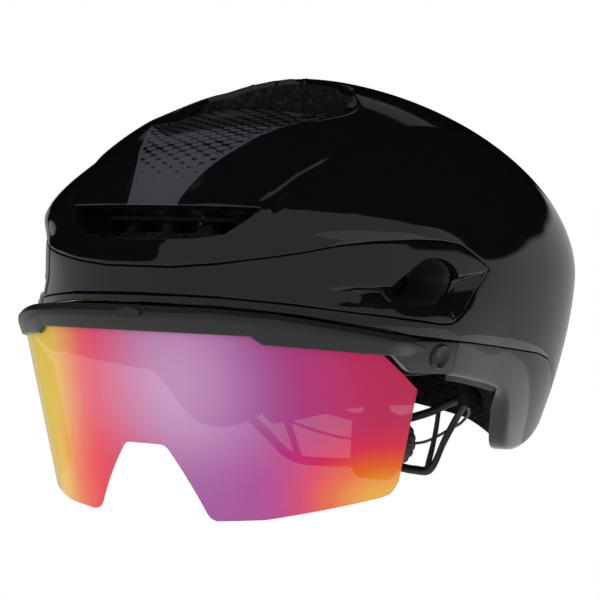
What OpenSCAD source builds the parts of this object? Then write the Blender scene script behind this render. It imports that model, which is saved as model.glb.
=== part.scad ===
// Road bike helmet with a short tail and a magnet-held wrap shield.
// Frame: +X is the wearer's left, -Y the front, +Z up. The origin is the head's
// centre in plan, at the height of the shield's top edge.
// Plan angle t is 0 at the front, 90 at the wearer's left and 180 at the back.

/* [Shell] */
// Half of the shell's widest width
half_width = 105; // [102:0.5:108]
// From the origin forward to the nose of the shell
nose_reach = 126; // [124:0.5:130]
// From the origin back to the tail of the shell
tail_reach = 150; // [144:0.5:160]
// From the origin up to the crown
crown_height = 115; // [112:0.5:122]
// Height of the widest line
wide_height = 34; // [32:0.5:36]
// Thickness of the outer shell
shell_wall = 1.6; // [1.2:0.1:2]
// Share of the width that the sides draw in, 60 mm below the widest line
side_tuck = 0.13; // [0.1:0.01:0.14]
// How far the brim flares outwards at the front
brim_flare = 6; // [4:0.5:7]
// Share of the brim's flare that is left in the middle of the front
front_flare = 0.25; // [0.1:0.05:1]
// Height of the raised hood above the side of the shell
hood_step = 2.4; // [1.5:0.1:3]

/* [Foam liner] */
// Half of the head space's width
cavity_half_width = 79; // [77:0.5:81]
// From the origin forward to the head space's front wall
cavity_front = 97; // [95:0.5:99]
// From the origin back to the head space's rear wall
cavity_rear = 106; // [104:0.5:108]
// From the origin up to the head space's roof
cavity_height = 84; // [80:0.5:86]
// Clearance between pieces that lie against each other
seat_gap = 0.3; // [0.2:0.05:0.4]

/* [Front slot] */
// Half of the slot's width at its lip
slot_half_angle = 19; // [17:0.5:21]
// Height of the slot's lip
slot_top = 50.5; // [49:0.5:52]
// Height of the slot's floor at its middle
slot_floor = 36; // [34:0.5:38]

/* [Top vent] */
// Half of the vent's width
vent_half_width = 38; // [34:0.5:40]
// Length of the vent from front to back
vent_length = 40; // [34:0.5:44]
// From the origin forward to the vent's rear lip
vent_back = 14; // [10:0.5:18]
// Depth of the ramp in front of the vent
ramp_depth = 6; // [4:0.5:8]

/* [Brow panel] */
// Thickness of the brow panel
panel_wall = 2.2; // [1.8:0.1:2.6]
// Width of the seam round the panel
panel_seam = 0.5; // [0.3:0.05:0.8]
// Thickness of the side duct's sleeve
duct_wall = 1.4; // [1:0.1:2]

/* [Rear exhaust] */
// Height of the exhaust ports' middle
exhaust_height = 34; // [30:0.5:38]
// Opening height of each exhaust port
exhaust_tall = 16; // [12:0.5:20]
// Opening width of each exhaust port
exhaust_wide = 34; // [28:0.5:38]
// Plan angle of each exhaust port
exhaust_angle = 140; // [136:1:144]

/* [Ear covers] */
// Thickness of the ear covers
cover_wall = 2.6; // [2:0.1:3]

/* [Shield] */
// Thickness of the lens
lens_wall = 1.6; // [1.2:0.1:2.2]
// How far the lens plan stands in from the shell's half width
lens_tuck = 3.5; // [2.5:0.5:5]
// How far the lens stands ahead of the shell's rounded front
lens_stand = 1.5; // [1:0.5:3]
// Depth of the lens plan from front to middle
lens_depth = 111; // [108:0.5:114]
// How far the lens leans in for each mm down
lens_lean = 0.24; // [0.2:0.01:0.28]
// Height of the nose notch's top below the origin
notch_top = 44.6; // [42:0.2:48]
// Height of the lens's lowest edge below the origin
lens_low = 72.4; // [70:0.2:76]
// Width of the shield frame's front lip
lip_wall = 1.5; // [1.2:0.1:2]
// Depth of the frame behind the lens
frame_back = 4.6; // [4:0.1:5.2]
// How deep the lens sits in the frame's groove
lens_seat = 3; // [2:0.1:3.4]
// Radius of the round magnets
magnet_r = 5; // [4:0.1:5.5]
// Thickness of the round magnets
magnet_t = 2; // [1.5:0.1:2.2]

/* [Cradle] */
// Height of the cradle's hinge below the origin
hinge_drop = 2; // [0:0.5:4]
// From the origin back to the cradle's hinge
hinge_back = 12; // [8:0.5:16]
// Radius of the hinge pins
hinge_pin_r = 2.4; // [2:0.1:3]
// Thickness of the cradle's arms
arm_wall = 2; // [1.6:0.1:2.6]
// Half of the web rails' thickness
rail_r = 1.7; // [1.3:0.1:2]
// Radius of the dial's knob
knob_r = 12.5; // [11:0.5:14]
// Length of the dial's knob
knob_len = 9; // [7:0.5:11]
// Radius of the knob's shaft
shaft_r = 2.5; // [2:0.1:3.2]
// Diameter of the fit lace
lace_d = 1.4; // [1:0.1:1.8]

/* [Pads and straps] */
// Thickness of the brow pad at its crown
brow_pad_t = 7; // [5:0.5:9]
// Thickness of the other pads at their crown
pad_t = 6; // [4:0.5:8]
// Width of the strap webbing
strap_w = 15; // [12:0.5:17]
// Thickness of the strap webbing
strap_t = 1.2; // [1:0.1:1.6]

/* [Hidden] */

// Plan centre and powers of the shell's rounded outline
centre_y = 22;
pole_y = -6;
nose_power = 2.32;
tail_power = 2.12;
nose_rise = 1.61;
tail_rise = 1.87;
side_rise = 1.91;
tuck_power = 1.7;
tuck_span = 60;

// Lines on the shell: plan angle in degrees and height in mm
rim_line = [[0, 11.5], [14, 11], [27, 8.7], [36, 6], [47, 3.5], [55, 2.5], [72, 1], [98, -1.5],
    [107, -4], [115, -10], [122, -17], [127, -24], [130, -33], [140, -40], [152, -36],
    [166, -31], [180, -29]];
panel_low_line = [[0, 14.5], [15, 14], [27, 12.4], [36, 10.8], [47, 9.3], [53, 8.2], [56, 8.7],
    [58, 11], [61, 18.5], [64, 25.5], [66.5, 31.5], [75, 31.5], [107, 24], [130, 16], [180, 10]];
panel_top_line = [[0, 26], [6, 26], [13, 27.7], [21, 31], [26, 33.5], [32, 37.2], [38, 39.5],
    [46, 41.3], [52, 41.8], [57, 41.2], [60.5, 38.4], [66.5, 32.5], [75, 36], [107, 36], [180, 36]];
cover_low_line = [[50, -10], [53.5, -11.5], [64, -13], [83, -17.3], [88, -21], [93, -28],
    [96, -38], [98, -43.5], [102, -45.5], [110, -45.5], [119, -42.5], [129, -35.5]];
liner_low_line = [[0, -8], [39, -12], [51, -12.5], [64, -13.5], [84, -17.8], [90, -23], [96, -33],
    [100, -41], [108, -44.5], [120, -44.5], [131, -43], [142, -40], [156, -34], [180, -28.5]];
panel_end = 66.5;
cover_front = 59.2;
cover_back = 129.5;
ledge_end = 58;
ledge_depth = 9;
ledge_nose = 5;
ledge_drop = 0.6;
roof_lift = 4;

function smooth(a, b, x) = let(u = min(1, max(0, (x - a) / (b - a)))) u * u * (3 - 2 * u);

// One rounded body: plan outline, rise and tuck, set by its reaches
function reach_of(t, front, rear) = cos(t) > 0 ? front + centre_y : rear - centre_y;
function plan_radius(t, half, front, rear) =
    let(n = cos(t) > 0 ? nose_power : tail_power, b = reach_of(t, front, rear))
    pow(pow(abs(sin(t)) / half, n) + pow(abs(cos(t)) / b, n), -1 / n);
function rise_power(t) =
    nose_rise * pow(max(cos(t), 0), 2) + tail_rise * pow(max(-cos(t), 0), 2)
    + side_rise * pow(sin(t), 2);
function dome_point(t, g, z, half, front, rear) =
    let(r = plan_radius(t, half, front, rear))
    [r * g * sin(t), centre_y * g + pole_y * (1 - g) - r * g * cos(t), z];

// The shell's skin at a plan angle and height, drawn in by an inset
function tuck_at(z) = side_tuck * pow(max(wide_height - z, 0) / tuck_span, tuck_power);
function flare_at(t, z) =
    brim_flare * (front_flare + (1 - front_flare) * smooth(22, 44, abs(t)))
    * (1 - smooth(9, 25, z)) * (1 - smooth(45, 80, abs(t)));
function skin(t, z, inset) = z > wide_height
    ? let(m = rise_power(t), top = crown_height - inset,
          h = min(1, (z - wide_height) / (top - wide_height)),
          g = pow(max(0, 1 - pow(h, m)), 1 / m))
      dome_point(t, g, z, half_width - inset, nose_reach - inset, tail_reach - inset)
    : let(r = plan_radius(t, half_width - inset, nose_reach - inset, tail_reach - inset),
          f = flare_at(t, z))
      [(r * (1 - tuck_at(z)) + f) * sin(t), centre_y - (r + f) * cos(t), z];
// The same skin by a share v of the way from height z0 to the crown
function skin_up(t, z0, v, inset) =
    let(m = rise_power(t), top = crown_height - inset,
        a0 = acos(pow(max(0, (z0 - wide_height) / (top - wide_height)), m / 2)),
        a = a0 * (1 - v), g = pow(sin(a), 2 / m), h = pow(cos(a), 2 / m),
        p = dome_point(t, g, wide_height + (top - wide_height) * h,
            half_width - inset, nose_reach - inset, tail_reach - inset))
    p;

// How far the skin lies below the rounded body: the ramp and the step beside the hood
function hood_edge(y) =
    70 - 25 * pow(max(0, -19 - y) / 91.5, 2.2);
function ramp_dent(x, y) =
    ramp_depth * smooth(-98, -58, y) * (1 - smooth(vent_half_width - 8, vent_half_width + 5, abs(x)))
    * (1 - smooth(-vent_back - 14, -vent_back - 4, y));
function side_dent(x, y) =
    let(d = abs(x) - hood_edge(y))
    hood_step * smooth(-1.5, 2.5, d) * (1 - smooth(6, 36, d)) * (1 - smooth(-30, 25, y))
    * smooth(-122, -108, y);
function dent(p) = ramp_dent(p[0], p[1]) + side_dent(p[0], p[1]);
function dented(t, z0, v, inset) =
    let(p = skin_up(t, z0, v, 0)) skin_up(t, z0, v, inset + dent(p));

// The head space's wall, drawn inwards by an inset
cavity_wide = 20;
function cavity_at(t, z, inset) =
    let(top = cavity_height - inset, half = cavity_half_width - inset,
        h = max(0, (z - cavity_wide) / (top - cavity_wide)),
        g = pow(max(0, 1 - pow(min(1, h), 2)), 1 / 2))
    dome_point(t, g, z, half, cavity_front - inset, cavity_rear - inset);
function cavity_up(t, z0, v, inset) =
    let(top = cavity_height - inset,
        a0 = acos(max(0, (z0 - cavity_wide) / (top - cavity_wide))), a = a0 * (1 - v))
    dome_point(t, sin(a), cavity_wide + (top - cavity_wide) * cos(a),
        cavity_half_width - inset, cavity_front - inset, cavity_rear - inset);

// A solid between two grids of points, with an optional closed ring and crown point
module sheet(outer, inner, keep = function(i, j) true, ring = false, crown = []) {
    n = len(outer);
    m = len(outer[0]);
    base = n * m;
    columns = ring ? n : n - 1;
    function a(i, j) = (i % n) * m + j;
    function b(i, j) = base + (i % n) * m + j;
    function kept(i, j) = j >= 0 && j < m - 1 && (ring || (i >= 0 && i < columns))
        && keep((i + n) % n, j);
    points = concat([for (c = outer) each c], [for (c = inner) each c], crown);
    quads = [for (i = [0 : columns - 1], j = [0 : m - 2]) if (kept(i, j)) each concat(
        [[a(i, j), a(i, j + 1), a(i + 1, j + 1)], [a(i, j), a(i + 1, j + 1), a(i + 1, j)],
         [b(i, j), b(i + 1, j + 1), b(i, j + 1)], [b(i, j), b(i + 1, j), b(i + 1, j + 1)]],
        kept(i, j - 1) ? [] :
            [[a(i, j), a(i + 1, j), b(i + 1, j)], [a(i, j), b(i + 1, j), b(i, j)]],
        kept(i, j + 1) || (j == m - 2 && len(crown) > 0) ? [] :
            [[a(i, j + 1), b(i, j + 1), b(i + 1, j + 1)],
             [a(i, j + 1), b(i + 1, j + 1), a(i + 1, j + 1)]],
        kept(i - 1, j) ? [] :
            [[a(i, j), b(i, j), b(i, j + 1)], [a(i, j), b(i, j + 1), a(i, j + 1)]],
        kept(i + 1, j) ? [] :
            [[a(i + 1, j), a(i + 1, j + 1), b(i + 1, j + 1)],
             [a(i + 1, j), b(i + 1, j + 1), b(i + 1, j)]])];
    caps = len(crown) == 0 ? [] : [for (i = [0 : columns - 1]) each
        [[a(i, m - 1), base * 2, a(i + 1, m - 1)], [b(i, m - 1), b(i + 1, m - 1), base * 2 + 1]]];
    polyhedron(points, concat(quads, caps));
}

function mirrored(list) = concat([for (k = [len(list) - 1 : -1 : 1]) if (list[k] < 180) -list[k]], list);
function between(a, b, n) = [for (k = [0 : n]) a + (b - a) * k / n];
function spread(keys, counts) = concat([keys[0]],
    [for (k = [0 : len(counts) - 1], s = [1 : counts[k]])
        keys[k] + (keys[k + 1] - keys[k]) * s / counts[k]]);

// Columns of the ring: closer round the front and at the ends of the slot and panel
ring_half = spread([0, 14, slot_half_angle, 53, 66.5, 127, 130, 180], [3, 2, 8, 5, 11, 1, 8]);
ring_t = mirrored(ring_half);
crown_rows = 7;
slot_end_low = slot_top - 1.2;
slot_low_line = [[0, slot_floor], [9, slot_floor + 0.8], [14, slot_floor + 3],
    [17, slot_floor + 8.5], [slot_half_angle, slot_end_low]];
function slot_low(t) = abs(t) <= slot_half_angle ? lookup(abs(t), slot_low_line)
    : slot_end_low - 3 * smooth(slot_half_angle, 60, abs(t));
function line(table, t) = lookup(abs(t), table);

// Main shell: a ring with the brow panel's place and the front slot left open
module shell_ring(outer_inset, inner_inset) {
    function column(t, inset) = concat(
        [skin(t, line(rim_line, t), inset),
         skin(t, (line(rim_line, t) + line(panel_low_line, t)) / 2, inset),
         skin(t, line(panel_low_line, t), inset),
         skin(t, line(panel_top_line, t), inset),
         skin(t, slot_low(t), inset)],
        [for (k = [0 : crown_rows]) dented(t, slot_top, k / (crown_rows + 1), inset)]);
    top_out = dented(0, slot_top, 1, outer_inset);
    top_in = dented(0, slot_top, 1, inner_inset);
    n = len(ring_t);
    sheet([for (t = ring_t) column(t, outer_inset)], [for (t = ring_t) column(t, inner_inset)],
        keep = function(i, j)
            let(t0 = ring_t[i], t1 = ring_t[(i + 1) % n],
                far = abs(t0) > 100 || abs(t1) > 100, mid = abs((t0 + t1) / 2))
            !(j == 2 && !far && mid < panel_end) && !(j == 4 && !far && mid < slot_half_angle),
        ring = true, crown = [top_out, top_in]);
}

module vent_outline(grow) {
    y1 = -vent_back - vent_length;
    offset(delta = grow)
        polygon([[-vent_half_width + 7, y1], [vent_half_width - 7, y1], [vent_half_width, y1 + 10],
            [vent_half_width, -vent_back - 13], [vent_half_width * 0.6, -vent_back - 4],
            [0, -vent_back], [-vent_half_width * 0.6, -vent_back - 4],
            [-vent_half_width, -vent_back - 13], [-vent_half_width, y1 + 10]]);
}
module vent_hole(grow) {
    translate([0, 0, cavity_height - 20])
        linear_extrude(crown_height - cavity_height + 30)
            vent_outline(grow);
}

// Side duct: its outline in the side view, as y and z
duct_points = [[-75.5, 21.5], [-65.5, 30.5], [-60, 34.5], [-52, 35], [-44.5, 32], [-40.5, 27],
    [-43.5, 20.5], [-52, 16], [-67, 15], [-73.5, 17]];
module duct_outline(grow) {
    offset(delta = grow)
        polygon(duct_points);
}
module duct_prism(x0, x1, grow) {
    translate([x0, 0, 0])
        rotate([90, 0, 90])
            linear_extrude(x1 - x0)
                duct_outline(grow);
}
module both_sides() {
    children();
    mirror([1, 0, 0])
        children();
}

// Rear exhaust port: a rounded slot seen along its own plan direction
module exhaust_prism(side, r0, r1, grow) {
    corner = 5;
    translate([0, centre_y, exhaust_height])
        rotate([0, 0, side * exhaust_angle - 90])
            rotate([90, 0, 90])
                translate([0, 0, r0])
                    linear_extrude(r1 - r0)
                        hull()
                            for (u = [-1, 1], w = [-1, 1])
                                translate([u * (exhaust_wide / 2 - corner), w * (exhaust_tall / 2 - corner)])
                                    circle(corner + grow, $fn = 24);
}

module main_shell() {
    color("#0b0b0d")
        difference() {
            shell_ring(0, shell_wall);
            vent_hole(0);
            for (side = [-1, 1])
                exhaust_prism(side, 90, 160, 0);
        }
}

// Foam liner: the ring between the shell and the head space, with a ledge behind the shield
liner_inset = shell_wall + 2 * seat_gap;
foam_ease = 1.2;
function ledge(t) = ledge_nose * (1 - smooth(12, 26, abs(t)))
    + ledge_depth * (1 - smooth(ledge_end, ledge_end + 3, abs(t)))
    + (cover_wall + seat_gap + foam_ease - liner_inset) * smooth(ledge_end, ledge_end + 3, abs(t))
    * (1 - smooth(cover_back, cover_back + 4, abs(t)));
liner_half = spread([0, 12, 26, 50, 58, 61, 100, 122, 127, 130, 134, 180], [2, 3, 3, 1, 1, 7, 3, 1, 1, 1, 5]);
liner_t = mirrored(liner_half);
liner_crown_rows = 9;
panel_back = panel_wall + seat_gap;
module foam_body() {
    function out(t, z, more) = skin(t, z, liner_inset + more);
    function behind_panel(t) =
        (panel_back + foam_ease - liner_inset) * (1 - smooth(panel_end, panel_end + 4, abs(t)));
    function over_cover(t) = (ledge_drop + 0.8) * smooth(ledge_end, ledge_end + 3, abs(t));
    function ledge_z(t) = max(line(rim_line, t) - ledge_drop + over_cover(t), line(liner_low_line, t) + 2);
    function roof_z(t) = ledge_z(t) - 1 + roof_lift * (1 - smooth(ledge_end, ledge_end + 3, abs(t)));
    function column(t) = concat(
        [out(t, line(liner_low_line, t), ledge(t)),
         out(t, roof_z(t), ledge(t)),
         out(t, ledge_z(t), behind_panel(t)),
         out(t, max(line(panel_top_line, t), ledge_z(t) + 4) + 1, behind_panel(t))],
        [for (k = [0 : liner_crown_rows])
            dented(t, slot_top, k / (liner_crown_rows + 1), liner_inset + foam_ease * min(k, 1))]);
    function inner(t) = concat(
        [cavity_at(t, line(liner_low_line, t) - 1.5, 0),
         cavity_at(t, -6, 0),
         cavity_at(t, 6, 0),
         cavity_at(t, cavity_wide, 0)],
        [for (k = [0 : liner_crown_rows]) cavity_up(t, cavity_wide + 12, k / (liner_crown_rows + 1), 0)]);
    sheet([for (t = liner_t) column(t)], [for (t = liner_t) inner(t)], ring = true,
        crown = [dented(0, slot_top, 1, liner_inset + foam_ease), cavity_up(0, cavity_wide + 12, 1, 0)]);
}
// Air channels that run from the front slot over the head
channel_w = 13;
channel_x = [-27, -9, 9, 27];
module slot_channels(grow) {
    for (x = channel_x)
        translate([x, -cavity_front + 8, (slot_top + slot_floor) / 2 + 1.5])
            rotate([90, 0, 0])
                linear_extrude(nose_reach - cavity_front + 12)
                    offset(delta = grow)
                        square([channel_w, slot_top - slot_floor - 5], center = true);
}
// The foam is moulded in two: a block at the front with the channels and ducts, and the rest
block_back = 36;
block_top = 62;
module front_space(grow) {
    translate([-half_width - 10, -nose_reach - 20 - grow, -nose_reach])
        cube([2 * half_width + 20, nose_reach + 20 + 2 * grow - block_back, nose_reach + block_top + grow]);
}
module foam_cuts() {
    slot_channels(0);
    both_sides()
        duct_prism(cavity_half_width - 30, half_width + 5, 0);
    vent_brace(seat_gap);
    both_sides()
        rivet_shanks(seat_gap);
}
module foam_front() {
    color("#1b1a18")
        difference() {
            intersection() {
                foam_body();
                front_space(0);
            }
            foam_cuts();
        }
}
module foam_liner() {
    color("#1b1a18")
        difference() {
            foam_body();
            front_space(seat_gap);
            vent_hole(0);
            for (side = [-1, 1])
                exhaust_prism(side, 60, 150, 0);
            both_sides()
                rivet_shanks(seat_gap);
        }
}

module brow_panel() {
    panel_t = mirrored(spread([0, 14, 40, 53, 58, 65.9], [3, 6, 3, 2, 4]));
    rows = 4;
    function low(t) = line(panel_low_line, t) + panel_seam;
    function high(t) = max(low(t) + 0.6, line(panel_top_line, t) - panel_seam);
    function column(t, inset) = [for (z = between(low(t), high(t), rows)) skin(t, z, inset)];
    color("#141416")
        difference() {
            sheet([for (t = panel_t) column(t, 0)], [for (t = panel_t) column(t, panel_wall)]);
            both_sides()
                duct_prism(cavity_half_width - 10, half_width + 8, 0);
        }
}

sleeve_depth = 20;
module duct_sleeve() {
    x0 = cavity_half_width - 3;
    x1 = half_width - sleeve_depth;
    color("#101011")
        difference() {
            duct_prism(x0, x1, -seat_gap);
            duct_prism(x0 - 1, x1 + 1, -seat_gap - duct_wall);
        }
}
module duct_sleeve_left() duct_sleeve();
module duct_sleeve_right() mirror([1, 0, 0]) duct_sleeve();

module ear_cover() {
    cover_t = spread([cover_front, 83, 98, 129.4], [5, 5, 8]);
    rows = 4;
    function low(t) = line(cover_low_line, t);
    function high(t) = max(low(t) + 1.5, line(rim_line, t) - panel_seam);
    function column(t, inset) = [for (z = between(low(t), high(t), rows)) skin(t, z, inset)];
    color("#242426")
        sheet([for (t = cover_t) column(t, 0)], [for (t = cover_t) column(t, cover_wall)]);
}
module ear_cover_left() ear_cover();
module ear_cover_right() mirror([1, 0, 0]) ear_cover();

// Brace behind the front slot: a blade across the channels, let into the foam's walls
brace_half = 36;
brace_front = 112;
brace_deep = 7;
brace_wall = 1.6;
module vent_brace(grow) {
    translate([0, -brace_front, (slot_top + slot_floor) / 2 + 2.1])
        linear_extrude(brace_wall + 2 * grow, center = true)
            offset(delta = grow)
                polygon([[-brace_half, brace_deep + 3], [-brace_half + 8, 3], [0, 0], [brace_half - 8, 3],
                    [brace_half, brace_deep + 3], [0, brace_deep]]);
}
module front_vent_brace() {
    color("#151515")
        vent_brace(0);
}

module top_vent_sleeve() {
    color("#0d0d0e")
        translate([0, 0, cavity_height - 4])
            linear_extrude(8)
                difference() {
                    vent_outline(-seat_gap);
                    vent_outline(-seat_gap - duct_wall);
                }
}

module exhaust_grille(side) {
    frame_w = 1.6;
    slats = 3;
    r0 = 96;
    r1 = 101;
    color("#0f0f10") {
        difference() {
            exhaust_prism(side, r0, r1, -seat_gap);
            exhaust_prism(side, r0 - 1, r1 + 1, -seat_gap - frame_w);
        }
        translate([0, centre_y, exhaust_height])
            rotate([0, 0, side * exhaust_angle - 90])
                for (k = [1 : slats])
                    translate([r0, -exhaust_wide / 2 + k * exhaust_wide / (slats + 1) - 0.8,
                        -exhaust_tall / 2 + seat_gap + frame_w - 0.4])
                        cube([r1 - r0, 1.6, exhaust_tall - 2 * (seat_gap + frame_w) + 0.8]);
    }
}
module exhaust_grille_left() exhaust_grille(1);
module exhaust_grille_right() exhaust_grille(-1);

// The shield's plan: a rounded outline that leans in going down
lens_power = 2.5;
lens_half_width = half_width - lens_tuck;
lens_reach = nose_reach + lens_stand;
lens_centre_y = lens_depth - lens_reach;
function lens_at(q, z, out) =
    let(s = lens_lean * -z, e = 2 / lens_power)
    [(lens_half_width - s + out) * sign(sin(q)) * pow(abs(sin(q)), e),
     lens_centre_y - (lens_depth - s + out) * pow(abs(cos(q)), e), z];
step_in = 24;
step_out = 27;
lens_side = 70;
chamfer_start = 58;
lens_top_line = [[0, 0], [step_in, 0], [step_out, -3], [chamfer_start, -4.8], [lens_side, -18]];
nose_half = 2.6;
nose_foot = 13.9;
lens_low_line = [[0, -notch_top], [nose_half, -notch_top], [nose_half + 1.4, -notch_top - 1.5],
    [nose_foot, -lens_low], [nose_foot + 2, -lens_low - 1.2], [30, -lens_low + 0.6],
    [lens_side - 5, -lens_low + 10.5], [lens_side - 2, -lens_low + 12],
    [lens_side, -lens_low + 17]];
lens_q = mirrored(spread([0, nose_half, nose_half + 1.4, nose_foot, nose_foot + 2, step_in, step_out,
    chamfer_start, lens_side - 2, lens_side], [1, 1, 3, 1, 2, 1, 7, 3, 1]));
// The line where the frame's lip ends on the lens
function frame_low(q) = line(lens_top_line, min(abs(q), chamfer_start));
function frame_top(q) = lookup(abs(q), [[0, 10], [30, 7.6], [45, 4.5], [60, 2.2], [78, 0.8]]);
module visor_lens() {
    function high(q) = abs(q) <= chamfer_start - 1 ? line(lens_top_line, q) + lens_seat
        : line(lens_top_line, q);
    function column(q, out) = [for (z = between(line(lens_low_line, q), high(q), 3)) lens_at(q, z, out)];
    color("#e85aa0")
        sheet([for (q = lens_q) column(q, 0)], [for (q = lens_q) column(q, -lens_wall)]);
}

// Frame of the shield: a grooved beam over the lens, with a round tab at each end
frame_end = 77;
groove_gap = 0.3;
function frame_in(q) = 3.4 * smooth(60, frame_end, abs(q));
module frame_beam() {
    frame_q = mirrored(spread([0, step_in, step_out, 60, frame_end], [7, 1, 9, 4]));
    function section(q) =
        let(z0 = frame_low(q), z1 = frame_top(q), o = -frame_in(q),
            lip = groove_gap + lip_wall, back = -lens_wall - groove_gap)
        [lens_at(q, z0, lip + o), lens_at(q, (z0 + z1) / 2, lip + 0.5 + o),
         lens_at(q, z1 - 1.2, lip + o), lens_at(q, z1, lip - 1.3 + o),
         lens_at(q, z1, -frame_back + 0.8 + o), lens_at(q, z1 - 0.8, -frame_back + o),
         lens_at(q, z0 + 0.8, -frame_back + o), lens_at(q, z0 + 0.8, back + o),
         lens_at(q, z0 + lens_seat + groove_gap, back + o),
         lens_at(q, z0 + lens_seat + groove_gap, groove_gap + o), lens_at(q, z0, groove_gap + o)];
    loops = [for (q = frame_q) section(q)];
    n = len(loops);
    m = len(loops[0]);
    cap = [[0, 1, 9], [0, 9, 10], [1, 2, 9], [2, 3, 9], [3, 4, 9], [4, 8, 9], [4, 5, 8], [5, 6, 8], [6, 7, 8]];
    polyhedron([for (l = loops) each l], concat(
        [for (i = [0 : n - 2], j = [0 : m - 1]) each let(k = (j + 1) % m)
            [[i * m + j, i * m + k, (i + 1) * m + k], [i * m + j, (i + 1) * m + k, (i + 1) * m + j]]],
        [for (f = cap) [f[2], f[1], f[0]]],
        [for (f = cap) [for (v = f) (n - 1) * m + v]]));
}
// A disc against the skin at a plan angle and height, its axis square to the skin
module on_skin(t, z, inset) {
    p = skin(t, z, inset);
    ahead = skin(t - 2, z, inset);
    behind = skin(t + 2, z, inset);
    above = skin(t, z + 1, inset);
    below = skin(t, z - 1, inset);
    lean = norm([above[0], above[1]] - [below[0], below[1]]);
    translate(p)
        rotate([0, atan2(lean, 2), atan2(behind[1] - ahead[1], behind[0] - ahead[0]) - 90])
            rotate([0, 90, 0])
                children();
}
tab_out = 2.2;
tab_in = 2.2;
tab_r = 5.6;
boss_t = 54.6;
boss_z = -4.4;
module tab_disc(t, z, radius, back) {
    on_skin(t, z, 0)
        translate([0, 0, -back])
            cylinder(r = radius, h = back + tab_out, $fn = 32);
}
module dock_pocket() {
    on_skin(boss_t, boss_z, 0)
        translate([0, 0, -tab_in - 12])
            cylinder(r = magnet_r + 2.3, h = 12, $fn = 32);
}
module visor_frame() {
    color("#2a2b2c") {
        difference() {
            frame_beam();
            both_sides()
                dock_pocket();
        }
        both_sides()
            difference() {
                hull() {
                    tab_disc(boss_t, boss_z, tab_r, tab_in);
                    tab_disc(boss_t - 7, boss_z + 0.9, 5, tab_in - 1.8);
                }
                on_skin(boss_t, boss_z, 0)
                    translate([0, 0, tab_out + 4.6])
                        sphere(r = 5.6, $fn = 32);
            }
    }
}

// Magnets: in the shield at its middle and tabs, and opposite them in the helmet
magnet_z = 4.2;
magnet_gap = 0.2;
lean_angle = atan(lens_lean);
nose_magnet_r = magnet_r - 1;
frame_back_y = -lens_reach - lens_lean * magnet_z + frame_back;
module nose_magnet(depth) {
    translate([0, frame_back_y, magnet_z])
        rotate([lean_angle - 90, 0, 0])
            translate([0, 0, depth])
                cylinder(r = nose_magnet_r, h = magnet_t);
}
module side_magnet(depth) {
    on_skin(boss_t, boss_z, 0)
        translate([0, 0, -tab_in - depth - magnet_t])
            cylinder(r = magnet_r, h = magnet_t);
}
module frame_magnets() {
    color("silver") {
        nose_magnet(magnet_gap);
        both_sides()
            side_magnet(magnet_gap);
    }
}
dock_depth = magnet_gap + magnet_t + seat_gap;
module dock_magnets() {
    color("silver") {
        nose_magnet(dock_depth);
        both_sides()
            side_magnet(dock_depth);
    }
}
module dock_seats() {
    half = nose_magnet_r + 0.6;
    seat_depth = dock_depth + magnet_t + magnet_gap;
    front_y = frame_back_y + seat_depth / cos(lean_angle);
    foam_y = -nose_reach + liner_inset + ledge_depth + ledge_nose - brim_flare * front_flare - seat_gap;
    foam_in = liner_inset + ledge_depth - 3 * seat_gap;
    color("#202020") {
        translate([-8, 0, magnet_z])
            rotate([90, 0, 90])
                linear_extrude(16)
                    polygon([[front_y + lens_lean * half, -half], [foam_y - seat_gap, -half],
                        [foam_y - seat_gap, half], [front_y - lens_lean * half, half]]);
        both_sides()
            on_skin(boss_t, boss_z, 0)
                translate([0, 0, -foam_in])
                    cylinder(r = magnet_r + 1.5, h = foam_in - tab_in - seat_depth);
    }
}

// Small clips that hold the lens in the frame's groove, and a finger grip over the nose
clip_q = [-50, -34, 34, 50];
clip_long = 5;
clip_thick = 1;
clip_tall = 1.6;
clip_tuck = 0.5;
module lens_clips() {
    color("#1a1a1a")
        for (q = clip_q) {
            p = lens_at(q, frame_low(q) - clip_tall + clip_tuck, -lens_wall - groove_gap);
            a = lens_at(q - 1, -4, 0);
            b = lens_at(q + 1, -4, 0);
            translate(p)
                rotate([0, 0, atan2(b[1] - a[1], b[0] - a[0])])
                    translate([-clip_long / 2, 0, 0])
                        cube([clip_long, clip_thick, clip_tall]);
        }
}
module grip_pad() {
    pad_rise = 6.9;
    half_long = 5.6;
    half_tall = 2;
    face_y = -lens_reach - lens_lean * pad_rise - groove_gap - lip_wall - 0.6;
    color("#161616")
        translate([0, face_y, pad_rise])
            rotate([90 - 6, 0, 0])
                translate([0, 0, 0.1])
                    scale([half_long / half_tall, 1, 1])
                        cylinder(r = half_tall, h = 0.8);
}

// Cradle: arms hang from pins on the foam's inner walls, and the web joins them at the back
hinge_x = cavity_half_width;
pin_clear = 0.05;
arm_x = hinge_x - 1.2 - arm_wall;
module hinge_pins() {
    color("#202020")
        both_sides()
            translate([0, hinge_back, -hinge_drop])
                rotate([0, 90, 0]) {
                    translate([0, 0, arm_x - 1.6])
                        cylinder(r = hinge_pin_r, h = hinge_x - arm_x + 1.4);
                    translate([0, 0, hinge_x - 1.1])
                        cylinder(r = hinge_pin_r + 2.4, h = 0.8);
                    translate([0, 0, arm_x - 2.6])
                        cylinder(r = hinge_pin_r + 1.2, h = 2.3);
                }
}
module cradle_arm() {
    arm_w = 11;
    color("#19191a")
        translate([arm_x, hinge_back, -hinge_drop])
            rotate([90, 0, 90])
                difference() {
                    linear_extrude(arm_wall)
                        union() {
                            circle(arm_w / 2, $fn = 48);
                            translate([-arm_w / 2, -20])
                                square([arm_w, 20]);
                            translate([-arm_w / 2, -24])
                                square([arm_w + 8, 8]);
                        }
                    translate([0, 0, -1])
                        cylinder(r = hinge_pin_r + pin_clear, h = arm_wall + 2);
                }
}
module cradle_arm_left() cradle_arm();
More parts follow.
